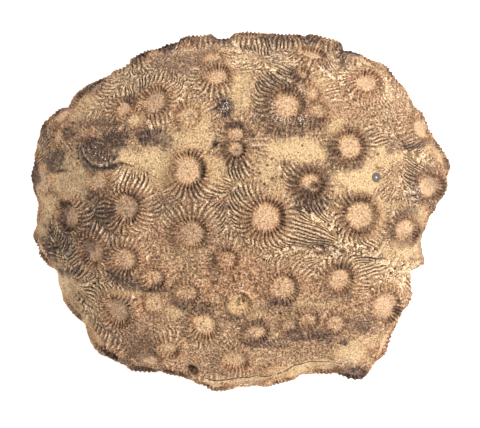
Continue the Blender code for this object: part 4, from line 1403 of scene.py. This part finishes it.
# %% Corners of the whole skin
skin_corners = np.concatenate([foot, base])[order]
lifted = np.concatenate([skin_corners, foot_inner])
down = np.array([0.0, 0.0, -1.0])
skin_outward = np.concatenate([np.tile(down, (FOOT_COLUMNS, 1)), normals])[order]
all_outward = np.concatenate([skin_outward, np.tile(down, (len(foot_inner), 1))])
skin = bpy.data.meshes.new("coral_head_skin")
skin.from_pydata((lifted * MM).tolist(), [], faces)
print(len(skin.vertices), "corners and", len(skin.polygons), "triangles")


# %% Its attributes
def store(mesh, name, values, kind="FLOAT"):
    """Keeps one value for every corner under a name."""
    attribute = mesh.attributes.new(name, kind, "POINT")
    field = "value" if kind == "FLOAT" else "vector"
    attribute.data.foreach_set(field, np.asarray(values, dtype=np.float32).ravel())


def whole(values, on_foot=0.0):
    """Values for every corner: the skin's, with one value for the foot line and the foot."""
    skin_values = np.concatenate([np.full(FOOT_COLUMNS, on_foot), values])[order]
    return np.concatenate([skin_values, np.full(len(foot_inner), on_foot)])


store(skin, "outward", all_outward, "FLOAT_VECTOR")
for name, values in (
    ("relief", relief),
    ("groove", groove),
    ("crest", crest),
    ("floor", floor),
    ("rim", rim),
    ("silt", silt),
    ("stain", stain),
    ("warm", warm),
    ("crumble", crumble),
    ("tooth", tooth),
    ("calcite", calcite),
):
    store(skin, name, whole(values))
store(skin, "smooth", whole(smooth, on_foot=1.0))
store(skin, "sawn", whole(np.zeros(len(base)), on_foot=1.0))
print("attributes:", ", ".join(attribute.name for attribute in skin.attributes))
# %% [markdown]
# ## Node trees that make real mesh
#
# What follows the surface or repeats on it is made by Geometry Nodes, because one
# small tree then does the same work on a hundred thousand corners. Each tree has
# named inputs, so that its sizes can be changed without opening it. In the end its
# result is turned into plain mesh, because only plain mesh can leave Blender with
# the part. One small function adds every node: it sets what it is given, and where
# it is given another node or a socket it makes a link.

# %% Add a node
def add_node(tree, kind, settings=None, inputs=None):
    """Adds a node, sets its properties, and sets or links its inputs."""
    node = tree.nodes.new(kind)
    for name, value in (settings or {}).items():
        setattr(node, name, value)
    for socket, value in (inputs or {}).items():
        if isinstance(value, bpy.types.Node):
            value = value.outputs[0]
        if isinstance(value, bpy.types.NodeSocket):
            tree.links.new(value, node.inputs[socket])
        else:
            node.inputs[socket].default_value = value
    return node


# %% Start and finish a tree
def new_tree(name, inputs):
    """A tree that takes and gives geometry, with named inputs and a material."""
    tree = bpy.data.node_groups.new(name, "GeometryNodeTree")
    tree.interface.new_socket("Geometry", in_out="INPUT", socket_type="NodeSocketGeometry")
    for label, value in inputs.items():
        socket = tree.interface.new_socket(label, in_out="INPUT", socket_type="NodeSocketFloat")
        socket.default_value = value
    tree.interface.new_socket("Material", in_out="INPUT", socket_type="NodeSocketMaterial")
    tree.interface.new_socket("Geometry", in_out="OUTPUT", socket_type="NodeSocketGeometry")
    return tree, tree.nodes.new("NodeGroupInput").outputs


def finish_tree(tree, given, geometry):
    """Real faces in the given material, as the tree's result."""
    real = add_node(tree, "GeometryNodeRealizeInstances", inputs={"Geometry": geometry})
    dressed = add_node(tree, "GeometryNodeSetMaterial", inputs={
        "Geometry": real, "Material": given["Material"]})
    add_node(tree, "NodeGroupOutput", inputs={"Geometry": dressed})
    print(tree.name, "has", len(tree.nodes), "nodes")
    return tree


# %% Run a tree
def run_tree(source, tree, name, settings, material):
    """Runs a tree on a mesh and keeps the result as a plain mesh object."""
    holder = bpy.data.objects.new(name, source)
    bpy.context.scene.collection.objects.link(holder)
    modifier = holder.modifiers.new("shape", "NODES")
    modifier.node_group = tree
    sockets = {
        item.name: item.identifier for item in tree.interface.items_tree
        if item.item_type == "SOCKET" and item.in_out == "INPUT"
    }
    for label, value in settings.items():
        modifier[sockets[label]] = value
    modifier[sockets["Material"]] = material
    bpy.context.view_layer.update()
    graph = bpy.context.evaluated_depsgraph_get()
    finished = bpy.data.meshes.new_from_object(holder.evaluated_get(graph))
    holder.modifiers.remove(modifier)
    holder.data = finished
    finished.name = name
    print(name, "has", len(finished.polygons), "faces")
    return holder


# %% [markdown]
# ## Raising the relief
#
# The skin so far is the smooth ground with each point's relief stored on it. A small
# node tree lifts it: every point moves outward by its own relief, plus a fine grain
# of noise so that no rib is perfectly even. A displacement in the material could
# look the same, but it would be lost with the material, and here it is real stone.

# %% The relief tree
def relief_tree():
    """Moves each corner outward by its relief, and by a grain where it isn't smooth."""
    tree, given = new_tree("raise_relief", {
        "Relief height": 1.0, "Grain height": 0.3, "Grain size": 1.0, "Seed": 1.0})
    read = {
        name: add_node(tree, "GeometryNodeInputNamedAttribute", {"data_type": kind}, {"Name": name})
        for name, kind in (("relief", "FLOAT"), ("smooth", "FLOAT"), ("outward", "FLOAT_VECTOR"))
    }
    place = add_node(tree, "GeometryNodeInputPosition")
    in_mm = add_node(tree, "ShaderNodeVectorMath", {"operation": "SCALE"}, {0: place, "Scale": 1.0 / MM})
    scale = add_node(tree, "ShaderNodeMath", {"operation": "DIVIDE"}, {0: 1.0, 1: given["Grain size"]})
    grain = add_node(tree, "ShaderNodeTexNoise", {"noise_dimensions": "4D"}, {
        "Vector": in_mm, "Scale": scale, "W": given["Seed"], "Detail": 2.0, "Roughness": 0.6})
    centred = add_node(tree, "ShaderNodeMath", {"operation": "SUBTRACT"}, {0: grain, 1: 0.5})
    grained = add_node(tree, "ShaderNodeMath", {"operation": "MULTIPLY"}, {
        0: centred, 1: given["Grain height"]})
    rough = add_node(tree, "ShaderNodeMath", {"operation": "SUBTRACT"}, {0: 1.0, 1: read["smooth"]})
    kept_grain = add_node(tree, "ShaderNodeMath", {"operation": "MULTIPLY"}, {0: grained, 1: rough})
    total = add_node(tree, "ShaderNodeMath", {"operation": "MULTIPLY_ADD"}, {
        0: read["relief"], 1: given["Relief height"], 2: kept_grain})
    metres = add_node(tree, "ShaderNodeMath", {"operation": "MULTIPLY"}, {0: total, 1: MM})
    offset = add_node(tree, "ShaderNodeVectorMath", {"operation": "SCALE"}, {
        0: read["outward"], "Scale": metres})
    moved = add_node(tree, "GeometryNodeSetPosition", inputs={
        "Geometry": given["Geometry"], "Offset": offset})
    return finish_tree(tree, given, moved)


raise_relief = relief_tree()


# %% [markdown]
# ## Things that stand on the skin
#
# Small things repeat all over the stone. The septa end in teeth just outside each
# rim, loose sand grains are stuck in the silt, and in places white calcite has grown
# as tiny crystals. One node tree stands a tooth on every corner marked for one,
# pointing outward. Another throws grains over the faces, as many as the attribute
# that it is told says, and serves sand and crystals alike. Instances are the usual
# way to repeat a thing, and the last node makes each of them real mesh.

# %% The teeth tree
def teeth_tree():
    """A blunt cone, uneven in size, on every corner that is marked as a tooth."""
    tree, given = new_tree("stand_teeth", {"Width": 0.5, "Height": 0.5, "Seed": 1.0})
    marked = add_node(tree, "GeometryNodeInputNamedAttribute", {"data_type": "FLOAT"}, {"Name": "tooth"})
    chosen = add_node(tree, "FunctionNodeCompare", {"data_type": "FLOAT", "operation": "GREATER_THAN"}, {
        0: marked, 1: 0.5})
    outward_way = add_node(tree, "GeometryNodeInputNamedAttribute", {"data_type": "FLOAT_VECTOR"}, {
        "Name": "outward"})
    upright = add_node(tree, "FunctionNodeAlignRotationToVector", {"axis": "Z"}, {"Vector": outward_way})
    uneven = add_node(tree, "FunctionNodeRandomValue", {"data_type": "FLOAT"}, {
        2: 0.55, 3: 1.25, "Seed": given["Seed"]})
    tooth = add_node(tree, "GeometryNodeMeshCone", {"fill_type": "NGON"}, {
        "Vertices": 5, "Radius Top": 0.12 * MM, "Radius Bottom": 0.5 * MM, "Depth": 1.0 * MM})
    size = add_node(tree, "ShaderNodeCombineXYZ", inputs={
        0: given["Width"], 1: given["Width"], 2: given["Height"]})
    shaped = add_node(tree, "GeometryNodeTransform", inputs={"Geometry": tooth, "Scale": size})
    placed = add_node(tree, "GeometryNodeInstanceOnPoints", inputs={
        "Points": given["Geometry"], "Selection": chosen, "Instance": shaped,
        "Rotation": upright, "Scale": uneven.outputs[1]})
    return finish_tree(tree, given, placed)


stand_teeth = teeth_tree()

# %% The grains tree
FULL_TURN = 6.28
SQUARE_CM_IN_METRE = 10000.0


def grains_tree(where):
    """Flattened grains thrown on the faces, dense where the named attribute is high."""
    tree, given = new_tree("throw_grains", {
        "Grains per square cm": 10.0, "Smallest": 0.3, "Largest": 0.6, "Seed": 1.0})
    wanted = add_node(tree, "GeometryNodeInputNamedAttribute", {"data_type": "FLOAT"}, {"Name": where})
    per_metre = add_node(tree, "ShaderNodeMath", {"operation": "MULTIPLY"}, {
        0: given["Grains per square cm"], 1: SQUARE_CM_IN_METRE})
    density = add_node(tree, "ShaderNodeMath", {"operation": "MULTIPLY"}, {0: wanted, 1: per_metre})
    thrown = add_node(tree, "GeometryNodeDistributePointsOnFaces", {"distribute_method": "RANDOM"}, {
        "Mesh": given["Geometry"], "Density": density, "Seed": given["Seed"]})
    tone = add_node(tree, "FunctionNodeRandomValue", {"data_type": "FLOAT"}, {"Seed": given["Seed"]})
    toned = add_node(tree, "GeometryNodeStoreNamedAttribute", {"data_type": "FLOAT", "domain": "POINT"}, {
        "Geometry": thrown, "Name": "tone", "Value": tone.outputs[1]})
    size = add_node(tree, "FunctionNodeRandomValue", {"data_type": "FLOAT"}, {
        2: given["Smallest"], 3: given["Largest"], "Seed": given["Seed"]})
    turn = add_node(tree, "FunctionNodeRandomValue", {"data_type": "FLOAT_VECTOR"}, {
        1: (FULL_TURN, FULL_TURN, FULL_TURN), "Seed": given["Seed"]})
    grain = add_node(tree, "GeometryNodeMeshIcoSphere", inputs={"Radius": 0.5 * MM, "Subdivisions": 1})
    flattened = add_node(tree, "GeometryNodeTransform", inputs={
        "Geometry": grain, "Scale": (1.0, 0.8, 0.6)})
    placed = add_node(tree, "GeometryNodeInstanceOnPoints", inputs={
        "Points": toned, "Instance": flattened, "Rotation": turn, "Scale": size.outputs[1]})
    return finish_tree(tree, given, placed)


throw_sand = grains_tree("silt")
throw_calcite = grains_tree("calcite")


# %% [markdown]
# ## The limestone
#
# Fossil limestone is dull and fine grained, so it has no gloss, and all its looks
# are in the colour and the grit. The crests of the ribs are pale cream, part wear and
# part painted highlight, and the grooves are dark brown, part dirt and part painted
# shade. Those two come from the same points as the relief, so colour and shape agree
# everywhere. Over them lie the warm, silted and stained patches, some of the stain
# being painted shadow. Three sizes of noise break everything up, from lumps of some
# millimetres down to the grit. An image would have to be painted for this one stone,
# and would blur close by, while attributes and noise stay sharp at any distance.

# %% Colours
def to_linear(hex_colour):
    """An sRGB hex colour as linear red, green, blue and alpha."""
    parts = [int(hex_colour[start:start + 2], 16) / 255.0 for start in (1, 3, 5)]
    return tuple([
        part / 12.92 if part <= 0.04045 else ((part + 0.055) / 1.055) ** 2.4 for part in parts
    ] + [1.0])


STONE_DARK, STONE_LIGHT = "#83644A", "#C6A07A"  # the bare stone, from lump to lump
SHADE_AND_DIRT_PLAIN, SHADE_AND_DIRT_STAINED = "#493220", "#373034"  # in the grooves, dirt and painted shade, without and with stain
# What lies over the bare stone, in order: the share it takes, its colour, how it mixes.
LAYERS = (
    ("warm", "#B88A68", "MIX"),
    # Pale crests: part wear, part painted highlight.
    ("crest wear and highlight", "#F2D3AC", "MIX"),
    ("crumb", "#D2A883", "MIX"),
    ("silt", "#DDBB8D", "MIX"),
    ("rim", "#EFE4DD", "MULTIPLY"),
    ("floor", "#DAB38C", "MIX"),
    ("blotch", "#857F8C", "MULTIPLY"),
    ("sawn", "#C9AE8C", "MIX"),
)
GRIT_DARK = (0.2, 0.165, 0.13, 1.0)
GRIT_LIGHT = (1.6, 1.6, 1.6, 1.0)
print(len(LAYERS), "layers lie over the bare stone")

# %% Shares of the layers
# Sizes of the noises, as lumps per metre, and how many finer layers each has.
NOISES = {
    "lump": (120.0, 3.0),  # about 8 mm
    "knob": (760.0, 1.0),  # about 1.3 mm, the granules of the crumbled stone
    "grit": (1500.0, 1.0),  # about 0.7 mm, coarser than the real grit
}


def stone_shares(tree):
    """The shares of the layers: as stored on the skin, or broken up by noise."""
    where = add_node(tree, "ShaderNodeTexCoord").outputs["Object"]
    share = {
        name: add_node(tree, "ShaderNodeAttribute", {"attribute_name": name}).outputs["Fac"]
        for name in ("crest", "groove", "floor", "rim", "silt", "stain", "warm", "crumble", "sawn")
    }
    for name, (scale, detail) in NOISES.items():
        share[name] = add_node(tree, "ShaderNodeTexNoise", inputs={
            "Vector": where, "Scale": scale, "Detail": detail, "Roughness": 0.6}).outputs[0]
    # Only the top of a crest is painted pale, as wear and as a highlight, and some stretches of it are
    # not.
    worn = add_node(tree, "ShaderNodeMapRange", inputs={
        "Value": share["crest"], "From Min": 0.18, "From Max": 0.62})
    patchy = add_node(tree, "ShaderNodeMapRange", inputs={
        "Value": share["knob"], "From Min": 0.3, "From Max": 0.5, "To Min": 0.7, "To Max": 1.0})
    share["crest wear and highlight"] = add_node(tree, "ShaderNodeMath", {"operation": "MULTIPLY"}, {
        0: worn, 1: patchy}).outputs[0]
    # Crumbled stone is made of pale granules with dark between them.
    granule = add_node(tree, "ShaderNodeMapRange", inputs={
        "Value": share["knob"], "From Min": 0.52, "From Max": 0.66})
    share["crumb"] = add_node(tree, "ShaderNodeMath", {"operation": "MULTIPLY"}, {
        0: granule, 1: share["crumble"]}).outputs[0]
    # The stain and its painted shadow have gone between the granules, and are worn off the crests and
    # lighter under their painted highlight.
    between = add_node(tree, "ShaderNodeMapRange", inputs={
        "Value": share["knob"], "From Min": 0.36, "From Max": 0.62, "To Min": 1.25, "To Max": 0.7})
    left_on = add_node(tree, "ShaderNodeMapRange", inputs={
        "Value": share["crest wear and highlight"], "To Min": 1.0, "To Max": 0.7})
    sunk = add_node(tree, "ShaderNodeMath", {"operation": "MULTIPLY"}, {0: between, 1: left_on})
    share["blotch"] = add_node(tree, "ShaderNodeMath", {"operation": "MULTIPLY", "use_clamp": True}, {
        0: sunk, 1: share["stain"]}).outputs[0]
    return share


# %% Dirt, painted shade and grit
def with_dirt_and_shade(tree, share, colour):
    """Dark brown deep in the grooves, part dirt and part painted shade, and darker between the granules
    of crumbled stone.
    """
    deep = add_node(tree, "ShaderNodeMapRange", inputs={
        "Value": share["groove"], "From Min": 0.4, "From Max": 0.82})
    broken = add_node(tree, "ShaderNodeMapRange", inputs={
        "Value": share["knob"], "From Min": 0.38, "From Max": 0.62, "To Min": 1.05, "To Max": 0.75})
    in_groove = add_node(tree, "ShaderNodeMath", {"operation": "MULTIPLY"}, {0: deep, 1: broken})
    gap = add_node(tree, "ShaderNodeMapRange", inputs={
        "Value": share["knob"], "From Min": 0.46, "From Max": 0.34, "To Min": 0.0, "To Max": 0.5})
    in_gap = add_node(tree, "ShaderNodeMath", {"operation": "MULTIPLY"}, {0: gap, 1: share["crumble"]})
    shade_and_dirt = add_node(tree, "ShaderNodeMath", {"operation": "MAXIMUM", "use_clamp": True}, {
        0: in_groove, 1: in_gap})
    shade_and_dirt_colour = add_node(tree, "ShaderNodeMix", {"data_type": "RGBA"}, {
        0: share["stain"], 6: to_linear(SHADE_AND_DIRT_PLAIN), 7: to_linear(SHADE_AND_DIRT_STAINED)}).outputs[2]
    return add_node(tree, "ShaderNodeMix", {"data_type": "RGBA"}, {
        0: shade_and_dirt, 6: colour, 7: shade_and_dirt_colour}).outputs[2]


def with_grit(tree, share, colour):
    """Grit everywhere, a little less where the silt and the cup floors are smooth."""
    grit = add_node(tree, "ShaderNodeValToRGB", inputs={"Fac": share["grit"]})
    for element, position, tint in zip(grit.color_ramp.elements, (0.3, 0.7), (GRIT_DARK, GRIT_LIGHT)):
        element.position = position
        element.color = tint
    on_floor = add_node(tree, "ShaderNodeMath", {"operation": "MULTIPLY"}, {0: share["floor"], 1: 0.75})
    calm = add_node(tree, "ShaderNodeMath", {"operation": "MAXIMUM"}, {0: share["silt"], 1: on_floor})
    grit_share = add_node(tree, "ShaderNodeMapRange", inputs={
        "Value": calm, "To Min": 0.95, "To Max": 0.45})
    return add_node(tree, "ShaderNodeMix", {"data_type": "RGBA", "blend_type": "MULTIPLY"}, {
        0: grit_share, 6: colour, 7: grit}).outputs[2]


# %% The weathered limestone
GRIT_DEPTH = 0.0008  # metres, for the shading of the grit


def new_material(name, roughness):
    """A plain material, and the tree and the shader to work on."""
    material = bpy.data.materials.new(name)
    material.use_nodes = True
    shader = material.node_tree.nodes["Principled BSDF"]
    shader.inputs["Roughness"].default_value = roughness
    return material, material.node_tree, shader


def limestone():
    """Dull tan limestone: crests pale with wear and a painted highlight, grooves dark with dirt and
    painted shade, silt, stain with painted shadow, and grit.
    """
    # The high roughness takes away all gloss, as on dry chalk.
    material, tree, shader = new_material("weathered_tan_limestone", 0.9)
    share = stone_shares(tree)
    colour = add_node(tree, "ShaderNodeMix", {"data_type": "RGBA"}, {
        0: share["lump"], 6: to_linear(STONE_DARK), 7: to_linear(STONE_LIGHT)}).outputs[2]
    for name, tint, way in LAYERS:
        colour = add_node(tree, "ShaderNodeMix", {"data_type": "RGBA", "blend_type": way}, {
            0: share[name], 6: colour, 7: to_linear(tint)}).outputs[2]
    colour = with_grit(tree, share, with_dirt_and_shade(tree, share, colour))
    tree.links.new(colour, shader.inputs["Base Color"])
    bump = add_node(tree, "ShaderNodeBump", inputs={
        "Height": share["grit"], "Strength": 1.0, "Distance": GRIT_DEPTH})
    tree.links.new(bump.outputs[0], shader.inputs["Normal"])
    print(material.name, "has", len(tree.nodes), "nodes")
    return material


stone = limestone()

# %% [markdown]
# ## Sand and calcite
#
# Loose grains in a crust are of many kinds, so each has its own tone between two
# colours, from a number that the scattering stored on it. Sand is dark and dull, so
# it shows as specks in the pale silt. Calcite crystals are nearly white and less
# rough, so they glint a little. One function makes both materials.

# %% Grains of sand and calcite
def grains_material(name, painted_shade, light, roughness):
    """Small crystals, each of its own tone between two colours."""
    material, tree, shader = new_material(name, roughness)
    tone = add_node(tree, "ShaderNodeAttribute", {"attribute_name": "tone"}).outputs["Fac"]
    colour = add_node(tree, "ShaderNodeMix", {"data_type": "RGBA"}, {
        0: tone, 6: to_linear(painted_shade), 7: to_linear(light)}).outputs[2]
    tree.links.new(colour, shader.inputs["Base Color"])
    print(name, "goes from", painted_shade, "to", light)
    return material


sand = grains_material("mixed_sand_grains", "#2E211C", "#8A6A50", 0.7)
calcite_white = grains_material("white_calcite_crystals", "#D8C8B8", "#FFFAF2", 0.4)

# %% Finish the skin and what stands on it
head = run_tree(skin, raise_relief, "coral_skin", {
    "Relief height": 1.0, "Grain height": 0.35, "Grain size": 1.1, "Seed": 5.0}, stone)
teeth = run_tree(head.data, stand_teeth, "septal_teeth", {
    "Width": 0.45, "Height": 0.45, "Seed": 3.0}, stone)
grains = run_tree(head.data, throw_sand, "sand_grains", {
    "Grains per square cm": 22.0, "Smallest": 0.3, "Largest": 0.8, "Seed": 4.0}, sand)
crystals = run_tree(head.data, throw_calcite, "calcite_crystals", {
    "Grains per square cm": 160.0, "Smallest": 0.25, "Largest": 0.65, "Seed": 6.0}, calcite_white)

# %% [markdown]
# ## A stray ring
#
# Sea lilies lived beside the coral, and one round joint of a stem is stuck in the
# silt. It is a low disc with a raised edge, and its middle is painted pale as a highlight.
# It could be put together from a torus and two cylinders, but one profile turned
# round, like a button on a lathe, gives the soft steps between them as well.

# %% A turned disc
def turned(name, centre, up, profile, sides):
    """A closed disc turned from a profile, standing on a place along its own way up."""
    side = np.cross(up, [0.0, 1.0, 0.0])
    side = side / np.linalg.norm(side)
    other = np.cross(up, side)
    turns = np.arange(sides) * 2.0 * math.pi / sides
    circle = np.cos(turns)[:, None] * side + np.sin(turns)[:, None] * other
    corners = np.concatenate([centre + circle * radius + up * height for radius, height in profile])
    faces = []
    for low in range(0, (len(profile) - 1) * sides, sides):
        for number in range(sides):
            following = (number + 1) % sides
            faces.append([
                low + number, low + following, low + sides + following, low + sides + number])
    faces.append(list(range((len(profile) - 1) * sides, len(profile) * sides)))
    faces.append(list(reversed(range(sides))))
    mesh = bpy.data.meshes.new(name)
    mesh.from_pydata((corners * MM).tolist(), [], faces)
    disc = bpy.data.objects.new(name, mesh)
    bpy.context.scene.collection.objects.link(disc)
    return disc


# %% The sea lily joint
RING_AT = np.array([48.4, 12.1])
RING_SIDES = 24
# Radius and height above the silt, mm, from under the edge in to the middle.
RING_PROFILE = [
    (1.7, -0.4), (1.75, 0.25), (1.45, 0.5), (1.1, 0.42), (0.45, 0.3), (0.35, 0.25), (0.15, 0.3),
]
RING_CORE = 5  # from this step of the profile inwards it is painted pale, as the highlight in its middle


def dull_stone(name, colour):
    """One even colour of stone, rough enough to have no gloss."""
    material, _tree, shader = new_material(name, 0.8)
    shader.inputs["Base Color"].default_value = to_linear(colour)
    return material


ring_place = map_from_plan(RING_AT[:1], RING_AT[1:])
ring_up = outward(ring_place)[0]
ring_centre = plain_skin(ring_place)[0] + ring_up * ground_rise(ring_place, CUPS_ALL)[0]
stray_ring = turned("sea_lily_joint", ring_centre, ring_up, RING_PROFILE, RING_SIDES)
stray_ring.data.materials.append(dull_stone("grey_stem_calcite", "#665B54"))
# The pale middle is a painted highlight.
stray_ring.data.materials.append(dull_stone("painted_highlight_middle", "#D8CFC4"))
for face in stray_ring.data.polygons:
    face.material_index = 1 if min(face.vertices) >= RING_CORE * RING_SIDES else 0
print("the ring has", len(stray_ring.data.polygons), "faces")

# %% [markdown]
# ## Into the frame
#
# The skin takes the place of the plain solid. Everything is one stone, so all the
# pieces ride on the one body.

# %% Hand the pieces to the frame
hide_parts("coral_head")
for piece in (head, teeth, grains, crystals, stray_ring):
    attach(piece, "root")
    print(piece.name, "rides on the root")

# %% [markdown]
# ## The studio
#
# The head lies on a white board under a large soft lamp from the right, which is
# low enough to draw a shadow behind each rib, and high enough to light the floors of
# the cups. The board glows a little and the room is bright all round, so shadows
# stay open, and the edge of the stone stands clean against white. The camera looks
# straight down from far away through a long lens, so that the flanks hardly show.

# %% Floor
FLOOR_SIZE = 30.0  # metres, past every edge of the picture
FLOOR_GAP = 0.25  # mm under the sawn foot, so that the two never show through each other
WHITE = (1.0, 1.0, 1.0, 1.0)
BOARD_WHITE = (0.92, 0.92, 0.92, 1.0)
BOARD_GLOW = 0.6

bpy.ops.mesh.primitive_plane_add(size=FLOOR_SIZE, location=(0.0, 0.0, -FLOOR_GAP * MM))
table = bpy.context.object
table.name = "studio_floor"
board, _tree, shader = new_material("matt_white_board", 0.9)
shader.inputs["Base Color"].default_value = BOARD_WHITE
shader.inputs["Emission Color"].default_value = WHITE
shader.inputs["Emission Strength"].default_value = BOARD_GLOW
table.data.materials.append(board)
print("a board", FLOOR_SIZE, "m wide lies under the stone")

# %% Light
LAMP_STRENGTH = 2.75
LAMP_SOFTNESS = 14.0  # degrees that the lamp spans, as seen from the stone
LIGHT_WAY = Vector((-0.7, -0.12, -1.0))  # the way the light travels, down and to the left
ROOM_LIGHT = 0.7

scene = bpy.context.scene
scene.view_settings.view_transform = "Standard"
world = bpy.data.worlds.new("studio")
world.use_nodes = True
world.node_tree.nodes["Background"].inputs["Color"].default_value = WHITE
world.node_tree.nodes["Background"].inputs["Strength"].default_value = ROOM_LIGHT
scene.world = world
sun_data = bpy.data.lights.new("key", "SUN")
sun_data.energy = LAMP_STRENGTH
sun_data.angle = math.radians(LAMP_SOFTNESS)
sun = bpy.data.objects.new("key", sun_data)
sun.rotation_euler = LIGHT_WAY.to_track_quat("-Z", "Y").to_euler()
scene.collection.objects.link(sun)
print("one lamp of strength", LAMP_STRENGTH, "and a room of", ROOM_LIGHT)

# %% Camera
LENS = 600.0
SENSOR = 36.0
FRAME_WIDTH = 172.8  # mm of the stone's surroundings that the picture spans
FOCUS_HEIGHT = 17.0  # mm, the level of the outline, where that width is true
AIM = (-0.18, -0.9)  # mm, the middle of the picture

camera_data = bpy.data.cameras.new("camera")
camera_data.lens = LENS
camera_data.sensor_width = SENSOR
camera_data.clip_start = 0.1
camera_data.clip_end = 50.0
camera = bpy.data.objects.new("camera", camera_data)
distance = FRAME_WIDTH * LENS / SENSOR
camera.location = (AIM[0] * MM, AIM[1] * MM, (distance + FOCUS_HEIGHT) * MM)
scene.collection.objects.link(camera)
scene.camera = camera
print("the camera stands", round(distance * MM, 2), "m above the outline")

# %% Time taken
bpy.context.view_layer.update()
print("seconds:", round(time.time() - STARTED, 1))
